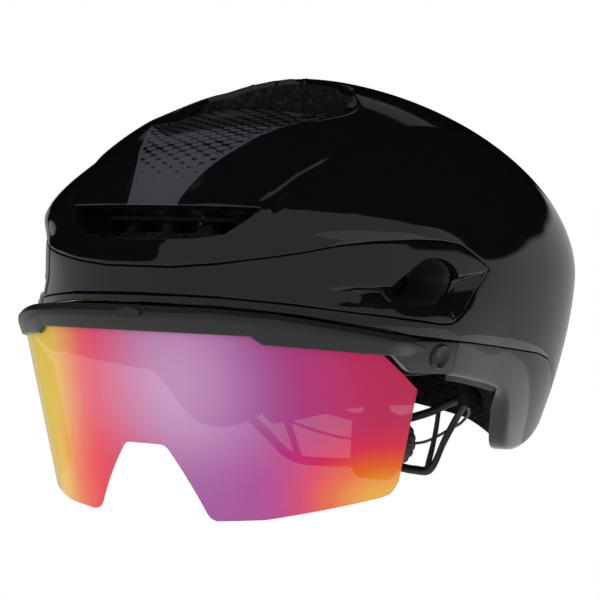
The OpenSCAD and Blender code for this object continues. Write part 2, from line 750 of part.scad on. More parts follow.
module cradle_arm_right() mirror([1, 0, 0]) cradle_arm();

pad_y = 73;
pad_z = -48;
// Rails of the web, one side: x, y and z of the points that each rail passes
rail_end_x = arm_x - seat_gap - 2.36;
plate_mid = pad_y - 1.5;
upper_rail = [[11, plate_mid - 0.2, -37], [24, 66, -34.5], [40, 54, -30.5], [57, 38, -25.5],
    [rail_end_x, 24, -22.4]];
lower_rail = [[11, plate_mid - 0.2, -59], [24, 66.5, -59.5], [38, 57, -57.5], [50, 46, -43.5],
    [62, 35, -31], [rail_end_x, 22, -23.5]];
strut_rail = [[35, 59, -57.5], [44, 50.5, -29.5]];
module rail(points, flat) {
    for (k = [0 : len(points) - 2])
        hull()
            for (p = [points[k], points[k + 1]])
                translate(p)
                    rotate([0, 0, -30])
                        cube([rail_r * 2 * flat, rail_r * 1.4, rail_r * 2 * flat], center = true);
}
module cradle_web() {
    color("#161617") {
        both_sides() {
            rail(upper_rail, 1.2);
            rail(lower_rail, 1.2);
            rail(strut_rail, 1);
        }
        hull()
            for (x = [-9, 9], z = [-58, -38])
                translate([x, plate_mid, z])
                    rotate([90, 0, 0])
                        cylinder(r = 4, h = 2.4, center = true, $fn = 16);
        hull()
            for (x = [-6, 6])
                translate([x, plate_mid, -63])
                    rotate([90, 0, 0])
                        cylinder(r = 3, h = 2.4, center = true, $fn = 16);
        translate([-8, pad_y - 2.7, -64])
            cube([16, 2.4, 8]);
        translate([-strip_w / 2, pad_y - 2.7, -36])
            cube([strip_w, 2.4, 10]);
    }
}

// Soft patch on a curved wall: full in the middle and drawn in at its edges
function bulge(u, v) = (1 - pow(abs(2 * u - 1), 4)) * (1 - pow(abs(2 * v - 1), 4));
pad_foot = 0.8;
pad_seat = 0.5;
module wall_pad(t0, t1, nt, nz, low, high, thick) {
    function at(i, j, k) =
        let(u = i / nt, v = j / nz, t = t0 + (t1 - t0) * u, z = low(t) + (high(t) - low(t)) * v)
        cavity_at(t, z, pad_seat + k * (pad_foot + (thick - pad_foot) * bulge(u, v)));
    sheet([for (i = [0 : nt]) [for (j = [0 : nz]) at(i, j, 0)]],
        [for (i = [0 : nt]) [for (j = [0 : nz]) at(i, j, 1)]]);
}
module brow_pad() {
    color("#2b2b2e")
        wall_pad(-44, 44, 20, 5, function(t) -5 - 3 * pow(sin(t), 2), function(t) 14 - 4 * pow(sin(t), 2), brow_pad_t);
}
module side_pad() {
    color("#2b2b2e")
        wall_pad(64, 112, 12, 4, function(t) 50, function(t) 62, pad_t);
}
module side_pad_left() side_pad();
module side_pad_right() mirror([1, 0, 0]) side_pad();
// Level g of the head space's dome over a plan point, found by halving
function dome_level(x, y, low, high, steps) =
    let(g = (low + high) / 2, dy = y - centre_y * g - pole_y * (1 - g), t = atan2(x, -dy),
        inside = norm([x, dy]) < g * plan_radius(t, cavity_half_width, cavity_front, cavity_rear))
    steps == 0 ? g : inside ? dome_level(x, y, low, g, steps - 1) : dome_level(x, y, g, high, steps - 1);
module crown_pad() {
    roof = cavity_height - pad_seat;
    rx = 17;
    ry = 35;
    middle_y = 27;
    rings = 6;
    sides = 28;
    function at(k, a, low) =
        let(s = k / rings, x = rx * s * cos(a), y = middle_y + ry * s * sin(a),
            g = dome_level(x, y, 0, 1, 14),
            z = cavity_wide + (roof - cavity_wide) * sqrt(1 - g * g) - 0.4)
        [x, y, z - low * (pad_foot + (pad_t - pad_foot) * (1 - pow(s, 4)))];
    color("#2b2b2e")
        sheet([for (a = [0 : 360 / sides : 359]) [for (k = [rings : -1 : 1]) at(k, a, 0)]],
            [for (a = [0 : 360 / sides : 359]) [for (k = [rings : -1 : 1]) at(k, a, 1)]],
            ring = true, crown = [at(0, 0, 0), at(0, 0, 1)]);
}

module cradle_pad() {
    color("#2b2b2e")
        difference() {
            hull()
                for (x = [-8.5, 8.5], z = [-56, -40])
                    translate([x, pad_y - 4.2, z])
                        sphere(r = 2.4, $fn = 16);
            translate([-30, pad_y - 3.1, -70])
                cube([60, 10, 50]);
        }
}

// Dial: a housing on the web with a bore for the knob's shaft
dial_face = pad_y;
housing_len = 8;
housing_r = knob_r + 2;
spool_r = 9;
module along_dial(y) {
    translate([0, y, pad_z])
        rotate([-90, 0, 0])
            children();
}
module dial_housing() {
    color("#1c1c1d")
        difference() {
            along_dial(dial_face) {
                cylinder(r = housing_r, h = housing_len);
            }
            along_dial(dial_face + 2)
                cylinder(r = spool_r + 1, h = housing_len);
            along_dial(dial_face - 1)
                cylinder(r = shaft_r + pin_clear, h = 4);
        }
}
module dial_knob() {
    grips = 18;
    gap = 0.4;
    y0 = dial_face + housing_len + gap;
    color("#232324")
        difference() {
            union() {
                along_dial(y0)
                    cylinder(r = knob_r, h = knob_len - 1.5);
                along_dial(y0 + knob_len - 1.5)
                    cylinder(r1 = knob_r, r2 = knob_r - 1.5, h = 1.5);
                along_dial(dial_face + 2.4)
                    cylinder(r = spool_r, h = housing_len);
                along_dial(dial_face + 0.3)
                    cylinder(r = shaft_r, h = housing_len);
            }
            for (k = [0 : grips - 1])
                translate([0, 0, pad_z])
                    rotate([0, k * 360 / grips, 0])
                        translate([knob_r + 0.6, y0 + 1.5, 0])
                            rotate([-90, 0, 0])
                                cylinder(r = 1.4, h = knob_len);
            along_dial(y0 + knob_len - 1.6)
                cylinder(r = knob_r * 0.55, h = 3);
        }
}

// Fit lace: from the dial's housing out along each wing
lace_start = housing_r + 0.6;
lace_route = [[lace_start, pad_y + 4, pad_z], [20, 74, -47.6], [28, 70, -46], [38, 63, -42.5],
    [48, 55, -38.5], [57, 46.5, -35.5], [63, 41, -32], [66.1, 35.4, -30.75]];
module tube(points, r, sides) {
    n = len(points);
    function along(i) = let(a = points[max(i - 1, 0)], b = points[min(i + 1, n - 1)]) (b - a) / norm(b - a);
    function ring_at(i) =
        let(d = along(i), u = cross(d, [0, 0, 1]) / norm(cross(d, [0, 0, 1])), w = cross(u, d))
        [for (k = [0 : sides - 1])
            points[i] + r * (cos(k * 360 / sides) * u + sin(k * 360 / sides) * w)];
    polyhedron([for (i = [0 : n - 1]) each ring_at(i)], concat(
        [for (i = [0 : n - 2], k = [0 : sides - 1]) each let(q = (k + 1) % sides)
            [[i * sides + k, (i + 1) * sides + q, i * sides + q],
             [i * sides + k, (i + 1) * sides + k, (i + 1) * sides + q]]],
        [[for (k = [0 : sides - 1]) k]],
        [[for (k = [sides - 1 : -1 : 0]) (n - 1) * sides + k]]));
}
module fit_lace() {
    color("#3a3a3c")
        both_sides()
            tube(lace_route, lace_d / 2, 8);
}

// Height strip: rises from the web into a guide on the foam's rear wall
strip_w = 13;
strip_t = 1.6;
strip_stand = 12;
strip_y = cavity_rear - strip_stand;
module height_strip() {
    teeth = 9;
    color("#18181a") {
        translate([-strip_w / 2, strip_y, -30])
            cube([strip_w, strip_t, 40]);
        translate([-strip_w / 2, pad_y, -30.4])
            cube([strip_w, strip_y - pad_y + strip_t, 4.4]);
        for (k = [0 : teeth - 1])
            translate([-3, strip_y + strip_t - 0.1, -24 + k * 3])
                cube([6, 0.8, 1.4]);
    }
}
module height_track() {
    back = cavity_rear - 0.7;
    x = strip_w / 2 + 0.6;
    reach = 13.4;
    color("#202021") {
        for (s = [-1, 1]) {
            translate([s * (x + 1) - 1, back - reach, -6])
                cube([2, reach - 1, 14]);
            translate([s * (x + 0.2) - 1.2, back - reach - 1.2, -6])
                cube([2.4, 1.4, 14]);
        }
        translate([-x - 2, back - 2, -8])
            cube([2 * x + 4, 1.8, 18]);
    }
}

// Chin straps, folded up flat against the inner walls
module ribbon(t0, t1, steps, mid, inset) {
    function at(i, j, k) =
        let(u = i / steps, t = t0 + (t1 - t0) * u, z = mid(u) + (j - 1) * strap_w / 2)
        cavity_at(t, z, inset + k * strap_t);
    sheet([for (i = [0 : steps]) [for (j = [0 : 2]) at(i, j, 0)]],
        [for (i = [0 : steps]) [for (j = [0 : 2]) at(i, j, 1)]]);
}
strap_seat = 0.5;
divider_t = 84;
divider_z = 27;
strap_z = 18;
module strap() {
    color("#1d1d1f") {
        ribbon(50, divider_t - 4, 6, function(u) strap_z + 2 * u, strap_seat);
        ribbon(divider_t + 4, 118, 6, function(u) strap_z + 2 - 3 * u, strap_seat);
        ribbon(55.4, divider_t + 2, 7, function(u) 39 - 3 * u, strap_seat);
    }
}
module strap_left() strap();
module strap_right() mirror([1, 0, 0]) strap();
// A flat frame on the head space's wall, clear of its curve over the given spans
module on_cavity(t, z, inset, dt, dz) {
    p = cavity_at(t, z, inset);
    a = cavity_at(t - dt, z, inset);
    b = cavity_at(t + dt, z, inset);
    low = cavity_at(t, z - dz, inset);
    high = cavity_at(t, z + dz, inset);
    lean = norm([high[0], high[1]] - [low[0], low[1]]);
    translate((a + b + low + high) / 2 - p)
        rotate([0, -atan2(lean, 2 * dz), atan2(b[1] - a[1], b[0] - a[0]) - 90])
            children();
}
module strap_divider() {
    wall = 2.6;
    tall = 32;
    wide = 20;
    color("#1b1b1c")
        on_cavity(divider_t, divider_z, strap_seat + strap_t + seat_gap, 8, tall / 2)
            difference() {
                translate([-wall, -wide / 2, -tall / 2])
                    cube([wall, wide, tall]);
                for (y = [-8, 3.4])
                    translate([-wall - 1, y, -13])
                        cube([wall + 2, 4.6, 12]);
                translate([-wall - 1, -7, 5])
                    cube([wall + 2, 14, 6]);
            }
}
module strap_divider_left() strap_divider();
module strap_divider_right() mirror([1, 0, 0]) strap_divider();
buckle_t = 46;
buckle_z = 39;
buckle_inset = 3.2 + seat_gap;
module at_buckle() {
    on_cavity(buckle_t, buckle_z, buckle_inset, 9, 10)
        children();
}
module buckle_socket() {
    color("#161617")
        at_buckle()
            difference() {
                translate([-3.2, -12, -10])
                    cube([6.4, 24, 20]);
                translate([-1.9, -13, -7.6])
                    cube([3.8, 18, 15.2]);
            }
}
module buckle_plug() {
    color("#161617")
        mirror([1, 0, 0])
            at_buckle() {
                translate([-3, 4, -10])
                    cube([6, 8, 20]);
                for (z = [-6.4, -1.2, 4.2])
                    translate([-1.4, -11, z])
                        cube([2.8, 16, 2.2]);
            }
}
module strap_anchors() {
    color("#141414")
        both_sides()
            for (t = [48, 120])
                on_cavity(t, strap_z - 1, 2 * seat_gap, 2, 6)
                    translate([-3, -2.6, -6])
                        cube([3, 5.2, 12]);
}
rivet_t = [66, 84, 102];
module rivet_shanks(grow) {
    for (t = rivet_t)
        on_skin(t, line(rim_line, t) - 5, 0)
            translate([0, 0, -cover_wall - 4 - grow])
                cylinder(r = 1.6 + grow, h = 3.7 + 2 * grow);
}
module cover_rivets() {
    color("#101010")
        both_sides()
            rivet_shanks(0);
}

main_shell();
brow_panel();
ear_cover_left();
ear_cover_right();
foam_liner();
foam_front();
front_vent_brace();
top_vent_sleeve();
duct_sleeve_left();
duct_sleeve_right();
exhaust_grille_left();
exhaust_grille_right();
visor_frame();
visor_lens();
lens_clips();
grip_pad();
frame_magnets();
dock_magnets();
dock_seats();
hinge_pins();
cradle_arm_left();
cradle_arm_right();
cradle_web();
cradle_pad();
dial_housing();
dial_knob();
fit_lace();
height_strip();
height_track();
brow_pad();
crown_pad();
side_pad_left();
side_pad_right();
strap_left();
strap_right();
strap_divider_left();
strap_divider_right();
buckle_socket();
buckle_plug();
strap_anchors();
cover_rivets();
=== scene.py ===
"""Road bike helmet with a magnet-held wrap shield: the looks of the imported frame.

Sizes are in millimetres in the frame's axes (+X wearer's left, -Y front, +Z up) and
turn into metres only where a mesh gets its points.
"""

import sys

import logging
import math
from bisect import bisect_right
from contextlib import contextmanager
from dataclasses import dataclass, field
from enum import Enum
from functools import reduce
from typing import Callable, Iterator, Optional, Sequence

import bmesh
import bpy
from mathutils import Matrix, Vector

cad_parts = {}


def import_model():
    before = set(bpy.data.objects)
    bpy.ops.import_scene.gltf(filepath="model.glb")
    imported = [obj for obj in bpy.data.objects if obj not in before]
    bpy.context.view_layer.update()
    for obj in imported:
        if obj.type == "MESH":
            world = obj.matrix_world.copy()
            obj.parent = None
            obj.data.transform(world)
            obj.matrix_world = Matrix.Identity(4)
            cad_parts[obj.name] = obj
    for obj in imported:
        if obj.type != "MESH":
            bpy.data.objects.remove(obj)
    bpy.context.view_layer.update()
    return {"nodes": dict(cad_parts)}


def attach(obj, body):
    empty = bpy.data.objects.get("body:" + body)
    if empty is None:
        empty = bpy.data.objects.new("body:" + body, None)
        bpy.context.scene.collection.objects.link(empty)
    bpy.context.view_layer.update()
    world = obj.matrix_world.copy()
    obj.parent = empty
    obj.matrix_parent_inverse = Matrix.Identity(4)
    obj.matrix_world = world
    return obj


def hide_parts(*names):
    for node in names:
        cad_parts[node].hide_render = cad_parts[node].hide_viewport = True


MM = 0.001
LOG = logging.getLogger("helmet")
Point = tuple[float, float, float]
Place = tuple[float, float]
Table = Sequence[Place]
Stops = Sequence[tuple[float, Point]]
Node = bpy.types.ShaderNode
Socket = bpy.types.NodeSocket
Piece = bpy.types.Object
Tree = bpy.types.NodeTree
Sockets = dict[str, Socket]
Outputs = bpy.types.NodeOutputs
Move = Callable[[Vector], Vector]


class Body(Enum):
    """The bodies of the frame that new pieces ride on."""

    HELMET = "helmet"
    VISOR = "visor"
    CRADLE = "cradle"


class Side(Enum):
    """The wearer's left or right, as the sign of X."""

    LEFT = 1
    RIGHT = -1

    def label(self, stem: str) -> str:
        """Returns a name that ends with this side's."""
        return f"{stem}_{self.name.lower()}"


def smooth(low: float, high: float, x: float) -> float:
    """Returns a soft step of x from 0 at low to 1 at high."""
    u = min(1.0, max(0.0, (x - low) / (high - low)))
    return u * u * (3.0 - 2.0 * u)


def fade(low: float, high: float, x: float) -> float:
    """Returns a soft step of x from 1 at low to 0 at high."""
    return 1 - smooth(low, high, x)


def lookup(x: float, table: Table) -> float:
    """Reads a table between its rows.

    Args:
        x: The place to read at.
        table: Rows of place and value, with places rising.

    Returns:
        The value at x, held level past both ends.
    """
    if x <= table[0][0]:
        return table[0][1]
    if x >= table[-1][0]:
        return table[-1][1]
    k = bisect_right([row[0] for row in table], x)
    (x0, y0), (x1, y1) = table[k - 1], table[k]
    return y0 + (y1 - y0) * (x - x0) / (x1 - x0)


def spread(keys: Sequence[float], counts: Sequence[int]) -> list[float]:
    """Returns the keys with each gap between them parted into that many steps."""
    out = [keys[0]]
    for k, n in enumerate(counts):
        out += [keys[k] + (keys[k + 1] - keys[k]) * s / n for s in range(1, n + 1)]
    return out


def mirrored(keys: Sequence[float], counts: Sequence[int]) -> list[float]:
    """Returns spread()'s values from the last key's negative to the last key."""
    values = spread(keys, counts)
    return [-v for v in reversed(values[1:])] + values


@dataclass(frozen=True)
class HelmetForm:
    """The rounded body of the helmet and the lines drawn on it."""

    half_width: float = 105.0
    nose_reach: float = 126.0
    tail_reach: float = 150.0
    crown_height: float = 115.0
    wide_height: float = 34.0
    centre_y: float = 22.0
    pole_y: float = -6.0
    side_tuck: float = 0.13
    brim_flare: float = 6.0
    nose_power: float = 2.32
    tail_power: float = 2.12
    nose_rise: float = 1.61
    tail_rise: float = 1.87
    side_rise: float = 1.91
    cavity_half: float = 79.0
    cavity_front: float = 97.0
    cavity_rear: float = 106.0
    cavity_height: float = 84.0
    cavity_wide: float = 20.0
    slot_half: float = 19.0
    slot_top: float = 50.5
    slot_floor: float = 36.0
    panel_end: float = 66.5
    seam: float = 0.5
    rim_line: Table = ((0, 11.5), (14, 11), (27, 8.7), (36, 6), (47, 3.5), (55, 2.5), (72, 1), (98, -1.5),
                       (107, -4), (115, -10), (122, -17), (127, -24), (130, -33), (140, -40), (152, -36),
                       (166, -31), (180, -29))
    panel_low: Table = ((0, 14.5), (15, 14), (27, 12.4), (36, 10.8), (47, 9.3), (53, 8.2), (56, 8.7), (58, 11),
                        (61, 18.5), (64, 25.5), (66.5, 31.5), (75, 31.5), (107, 24), (130, 16), (180, 10))
    panel_top: Table = ((0, 26), (6, 26), (13, 27.7), (21, 31), (26, 33.5), (32, 37.2), (38, 39.5), (46, 41.3),
                        (52, 41.8), (57, 41.2), (60.5, 38.4), (66.5, 32.5), (75, 36), (107, 36), (180, 36))
    crease: Table = ((0, 68), (10, 65), (15, 58), (18.8, 52.4), (20.7, 56), (24.4, 64), (30, 72), (37.6, 80),
                     (46.7, 86), (59.6, 90), (80, 92), (180, 92))

    def plan_radius(self, t: float, half: float, front: float, rear: float) -> float:
        """Returns the plan outline's radius about centre_y at plan angle t for the given reaches."""
        c, s = math.cos(math.radians(t)), math.sin(math.radians(t))
        n, b = (self.nose_power, front + self.centre_y) if c > 0 else (self.tail_power, rear - self.centre_y)
        return ((abs(s) / half) ** n + (abs(c) / b) ** n) ** (-1.0 / n)

    def dome(self, t: float, g: float, z: float, half: float, front: float, rear: float) -> Vector:
        """Returns the point of a dome at plan angle t and share g of its outline, at height z."""
        r = self.plan_radius(t, half, front, rear) * g
        a = math.radians(t)
        y = self.centre_y * g + self.pole_y * (1.0 - g) - r * math.cos(a)
        return Vector((r * math.sin(a), y, z))

    def rise(self, t: float) -> float:
        """Returns the power of the dome's rise at plan angle t."""
        c, s = math.cos(math.radians(t)), math.sin(math.radians(t))
        return self.nose_rise * max(c, 0.0) ** 2 + self.tail_rise * max(-c, 0.0) ** 2 + self.side_rise * s * s

    def latitude(self, t: float, z: float) -> float:
        """Returns the height z as a latitude: degrees above the widest line, mm below it."""
        if z <= self.wide_height:
            return z - self.wide_height
        h = min(1.0, (z - self.wide_height) / (self.crown_height - self.wide_height))
        return 90.0 - math.degrees(math.acos(h ** (self.rise(t) / 2.0)))

    def at_latitude(self, t: float, lat: float, out: float = 0.0) -> Vector:
        """Returns the skin's point.

        Args:
            t: Plan angle in degrees, 0 in front and 90 at the wearer's left.
            lat: Latitude as latitude() gives it.
            out: How far outside the skin the point lies.
        """
        half, front, rear = self.half_width + out, self.nose_reach + out, self.tail_reach + out
        if lat <= 0.0:
            z = self.wide_height + lat
            r = self.plan_radius(t, half, front, rear)
            tuck = self.side_tuck * (-lat / 60.0) ** 1.7
            flare = self.brim_flare * smooth(22, 44, abs(t)) * fade(7, 25, z) * fade(45, 80, abs(t))
            a = math.radians(t)
            return Vector(((r * (1 - tuck) + flare) * math.sin(a), self.centre_y - (r + flare) * math.cos(a), z))
        m = self.rise(t)
        a = math.radians(90.0 - lat)
        g, h = max(0.0, math.sin(a)) ** (2.0 / m), max(0.0, math.cos(a)) ** (2.0 / m)
        z = self.wide_height + (self.crown_height + out - self.wide_height) * h
        return self.dome(t, g, z, half, front, rear)

    def skin(self, t: float, z: float, out: float = 0.0) -> Vector:
        """Returns the skin's point at plan angle t and height z, a distance out of it."""
        return self.at_latitude(t, self.latitude(t, z), out)

    def slot_low(self, t: float) -> float:
        """Returns the height of the front slot's floor at plan angle t."""
        end = self.slot_top - 1.2
        if abs(t) <= self.slot_half:
            return lookup(abs(t), ((0, self.slot_floor), (9, self.slot_floor + 0.8), (14, self.slot_floor + 3),
                                   (17, self.slot_floor + 8.5), (self.slot_half, end)))
        return end - 3.0 * smooth(self.slot_half, 60, abs(t))

    def cavity(self, t: float, z: float, inset: float = 0.0) -> Vector:
        """Returns the head space's wall at plan angle t and height z, drawn inwards by inset."""
        top = self.cavity_height - inset
        h = min(1.0, max(0.0, (z - self.cavity_wide) / (top - self.cavity_wide)))
        return self.dome(t, math.sqrt(1 - h * h), z, self.cavity_half - inset, self.cavity_front - inset,
                         self.cavity_rear - inset)

    def cavity_up(self, t: float, share: float) -> Vector:
        """Returns the head space's roof at a share of the way from its widest height to the crown."""
        a = math.radians(90.0 * (1 - share))
        z = self.cavity_wide + (self.cavity_height - self.cavity_wide) * math.cos(a)
        return self.dome(t, math.sin(a), z, self.cavity_half, self.cavity_front, self.cavity_rear)


FORM = HelmetForm()


class Make:
    """The few modelling steps that the pieces share."""

    @staticmethod
    def deselect() -> None:
        """Leaves edit mode and selects nothing."""
        if bpy.context.object and bpy.context.object.mode != "OBJECT":
            bpy.ops.object.mode_set(mode="OBJECT")
        bpy.ops.object.select_all(action="DESELECT")

    @staticmethod
    def take(piece: Piece) -> Piece:
        """Selects one piece alone, makes it active and returns it."""
        Make.deselect()
        piece.select_set(True)
        bpy.context.view_layer.objects.active = piece
        return piece

    @staticmethod
    def call(piece: Piece, name: str) -> None:
        """Names a piece and its mesh."""
        piece.name = piece.data.name = name

    @staticmethod
    @contextmanager
    def edit(piece: Piece) -> Iterator[bmesh.types.BMesh]:
        """Opens a piece's mesh for editing and writes it back at the end."""
        mesh = bmesh.new()
        mesh.from_mesh(piece.data)
        yield mesh
        mesh.to_mesh(piece.data)
        mesh.free()

    @staticmethod
    def flip(piece: Piece) -> None:
        """Turns a piece's mesh over to the other side of the helmet."""
        for vertex in piece.data.vertices:
            vertex.co.x = -vertex.co.x
        piece.data.flip_normals()

    @staticmethod
    def grid(name: str, columns: int, rows: int, place: Callable[[int, int], Vector],
             centre: Point = (0, 0, 0)) -> Piece:
        """Adds a primitive grid and lays its points on a surface.

        Args:
            name: The piece's name.
            columns: Points along the grid's first way.
            rows: Points along its second way.
            place: Gives the point in mm for a column and row.
            centre: A point in mm that the faces look away from.

        Returns:
            The piece.
        """
        Make.deselect()
        bpy.ops.mesh.primitive_grid_add(x_subdivisions=columns - 1, y_subdivisions=rows - 1, size=1)
        piece = bpy.context.object
        Make.call(piece, name)
        points = (place(i, j) for j in range(rows) for i in range(columns))
        piece.data.vertices.foreach_set("co", [c * MM for p in points for c in p])
        piece.data.update()
        middle = Vector(centre) * MM
        lean = sum((f.center - middle).dot(f.normal) * f.area for f in piece.data.polygons)
        if lean < 0:
            piece.data.flip_normals()
        return piece

    @staticmethod
    def weld(piece: Piece, gap: float = 0.02) -> None:
        """Merges the points of a piece that lie within gap mm of each other."""
        with Make.edit(piece) as mesh:
            bmesh.ops.remove_doubles(mesh, verts=mesh.verts, dist=gap * MM)
            bmesh.ops.dissolve_degenerate(mesh, edges=mesh.edges, dist=gap * 0.5 * MM)

    @staticmethod
    def modify(piece: Piece, kind: str, **settings: object) -> None:
        """Adds a modifier with the given settings and applies it."""
        Make.take(piece)
        modifier = piece.modifiers.new(kind.title(), kind)
        for key, value in settings.items():
            setattr(modifier, key, value)
        bpy.ops.object.modifier_apply(modifier=modifier.name)

    @staticmethod
    def wall(piece: Piece, thick: float, edge: float, offset: float = -1.0, even: bool = True) -> None:
        """Gives a surface its thickness in mm and rounds its rims.

        Args:
            piece: The surface.
            thick: The wall in mm, laid inwards.
            edge: Radius of the rounded rims in mm.
            offset: Where the surface lies in the wall, -1 for its outer side.
            even: Whether the wall keeps its thickness round sharp bends.
        """
        Make.modify(piece, "SOLIDIFY", thickness=thick * MM, offset=offset, use_even_offset=even,
                    thickness_clamp=0.0)
        Make.bevel(piece, edge, use_clamp_overlap=False)
        Make.smooth(piece)

    @staticmethod
    def bevel(piece: Piece, edge: float, **settings: object) -> None:
        """Rounds the sharp edges of a piece with a radius in mm."""
        Make.modify(piece, "BEVEL", width=edge * MM, segments=2, limit_method="ANGLE", angle_limit=math.radians(50),
                    **settings)

    @staticmethod
    def thin_out(piece: Piece, middle: Vector, radius: float, gap: float) -> None:
        """Merges the crowded points of a piece within a radius in mm of a place, gap mm apart."""
        with Make.edit(piece) as mesh:
            near = [v for v in mesh.verts if (v.co / MM - middle).length < radius]
            bmesh.ops.remove_doubles(mesh, verts=near, dist=gap * MM)

    @staticmethod
    def lip(piece: Piece, holds: Callable[[Vector], bool], push: Move, first: Optional[Move] = None) -> None:
        """Turns a rim of a surface inwards as a lip.

        Args:
            piece: The surface, without a wall yet.
            holds: Tells for a point in mm whether it belongs to the rim.
            push: Gives the whole move in mm of a rim point.
            first: Gives the move of a narrow face before the lip, or None for a sharp edge.
        """
        steps = 3
        with Make.edit(piece) as mesh:
            rim = [e for e in mesh.edges if e.is_boundary and all(holds(v.co / MM) for v in e.verts)]
            for move in ([first] if first else []) + [lambda p: push(p) / steps] * steps:
                made = bmesh.ops.extrude_edge_only(mesh, edges=rim)["geom"]
                for vertex in (g for g in made if isinstance(g, bmesh.types.BMVert)):
                    vertex.co += move(vertex.co / MM) * MM
                rim = [g for g in made if isinstance(g, bmesh.types.BMEdge) and g.is_boundary]

    @staticmethod
    def smooth(piece: Piece, angle: float = 35.0) -> None:
        """Shades a piece smooth, with sharp edges over an angle in degrees."""
        Make.take(piece)
        bpy.ops.object.shade_smooth_by_angle(angle=math.radians(angle))

    @staticmethod
    def sweep(name: str, rings: Sequence[Sequence[Vector]], caps: bool = True) -> Piece:
        """Lofts a tube through rings of points in mm.

        Args:
            name: The piece's name.
            rings: The cross-sections in order, each with as many points.
            caps: Whether the ends are closed.

        Returns:
            The piece, with its faces outwards.
        """
        n = len(rings[0])
        piece = Make.grid(name, n + 1, len(rings), lambda i, j: rings[j][i % n])
        with Make.edit(piece) as mesh:
            bmesh.ops.remove_doubles(mesh, verts=mesh.verts, dist=1e-6)
            if caps:
                bmesh.ops.holes_fill(mesh, edges=[e for e in mesh.edges if e.is_boundary], sides=0)
            bmesh.ops.recalc_face_normals(mesh, faces=mesh.faces)
        return piece

    @staticmethod
    def join(name: str, pieces: Sequence[Piece]) -> Piece:
        """Joins pieces into one under a name and returns it."""
        Make.take(pieces[0])
        for piece in pieces:
            piece.select_set(True)
        bpy.ops.object.join()
        Make.call(pieces[0], name)
        return pieces[0]

    @staticmethod
    def mirror(piece: Piece, name: str) -> Piece:
        """Copies a piece to the other side of the helmet, with its own mesh."""
        Make.take(piece)
        bpy.ops.object.duplicate()
        copy = bpy.context.object
        Make.call(copy, name)
        Make.flip(copy)
        return copy

    @staticmethod
    def open_cells(piece: Piece, columns: int, opened: Callable[[int, int], bool]) -> None:
        """Deletes cells of a grid.

        Args:
            piece: A piece that grid() made, with its points still in order.
            columns: Its points along the first way.
            opened: Tells for a cell's column and row whether it goes.
        """

        def gone(face: bmesh.types.BMFace) -> bool:
            numbers = [v.index for v in face.verts]
            return opened(min(n % columns for n in numbers), min(n // columns for n in numbers))

        with Make.edit(piece) as mesh:
            bmesh.ops.delete(mesh, geom=[f for f in mesh.faces if gone(f)], context="FACES")

    @staticmethod
    def carve(piece: Piece, tools: Sequence[Piece]) -> None:
        """Cuts closed tools out of a closed piece and deletes them."""
        tool = Make.join("tools", tools)
        Make.modify(piece, "BOOLEAN", operation="DIFFERENCE", object=tool, solver="EXACT", use_self=True)
        bpy.data.objects.remove(tool, do_unlink=True)


@dataclass
class Hole:
    """An outline cut through a surface.

    Attributes:
        outline: The corners in mm in the hole's own plane.
        origin: The plane's origin in mm.
        across: The plane's first axis.
        along: The plane's second axis.
        facing: The axis that the hole faces.
        reach: How far in mm a rim point may move on to the outline.
        least_slope: How squarely a face must face the hole for its rim to keep to the face.
    """

    outline: Sequence[Place]
    origin: Vector
    across: Vector
    along: Vector
    facing: Vector = field(init=False)
    reach = 2.5
    least_slope = 0.2

    def __post_init__(self) -> None:
        """Works out the axis that the hole faces."""
        self.facing = self.across.cross(self.along).normalized()

    def flat(self, p: Vector) -> Place:
        """Returns a point in mm as the plane's two coordinates."""
        d = p - self.origin
        return d.dot(self.across), d.dot(self.along)

    def edges(self) -> Iterator[tuple[Place, Place]]:
        """Gives the ends of each of the outline's edges."""
        return zip(self.outline, [*self.outline[1:], self.outline[0]])

    def holds(self, p: Vector) -> bool:
        """Returns whether a point in mm lies inside the outline, on the side that it faces."""
        if (p - self.origin).dot(self.facing) < 0:
            return False
        u, v = self.flat(p)
        inside = False
        for (x0, y0), (x1, y1) in self.edges():
            if (y0 > v) != (y1 > v) and u < (x1 - x0) * (v - y0) / (y1 - y0) + x0:
                inside = not inside
        return inside

    def nearest(self, p: Vector) -> tuple[float, float, float]:
        """Returns the outline's nearest place to a point in mm, and its distance."""
        u, v = self.flat(p)
        best = (0.0, 0.0, 1e9)
        for (x0, y0), (x1, y1) in self.edges():
            dx, dy = x1 - x0, y1 - y0
            w = min(1.0, max(0.0, ((u - x0) * dx + (v - y0) * dy) / (dx * dx + dy * dy)))
            x, y = x0 + w * dx, y0 + w * dy
            d = math.hypot(u - x, v - y)
            if d < best[2]:
                best = (x, y, d)
        return best

    def prism(self, near: float, far: float) -> Piece:
        """Models a tool that cuts along the way that the hole faces, from near to far."""
        rings = [[self.origin + self.across * u + self.along * v + self.facing * w for u, v in self.outline]
                 for w in (near, far)]
        return Make.sweep("tool", rings)

    def cut(self, piece: Piece) -> None:
        """Opens the hole in a surface without a wall and draws its rim on to the outline."""
        with Make.edit(piece) as mesh:
            gone = [f for f in mesh.faces if self.holds(f.calc_center_median() / MM)]
            bmesh.ops.delete(mesh, geom=gone, context="FACES")
            mesh.normal_update()
            for vertex in mesh.verts:
                p = vertex.co / MM
                if not vertex.is_boundary or (p - self.origin).dot(self.facing) < 0:
                    continue
                x, y, d = self.nearest(p)
                if d > self.reach:
                    continue
                u, v = self.flat(p)
                move = self.across * (x - u) + self.along * (y - v)
                slope = vertex.normal.dot(self.facing)
                if abs(slope) > self.least_slope:
                    move -= self.facing * (vertex.normal.dot(move) / slope)
                vertex.co += move * MM


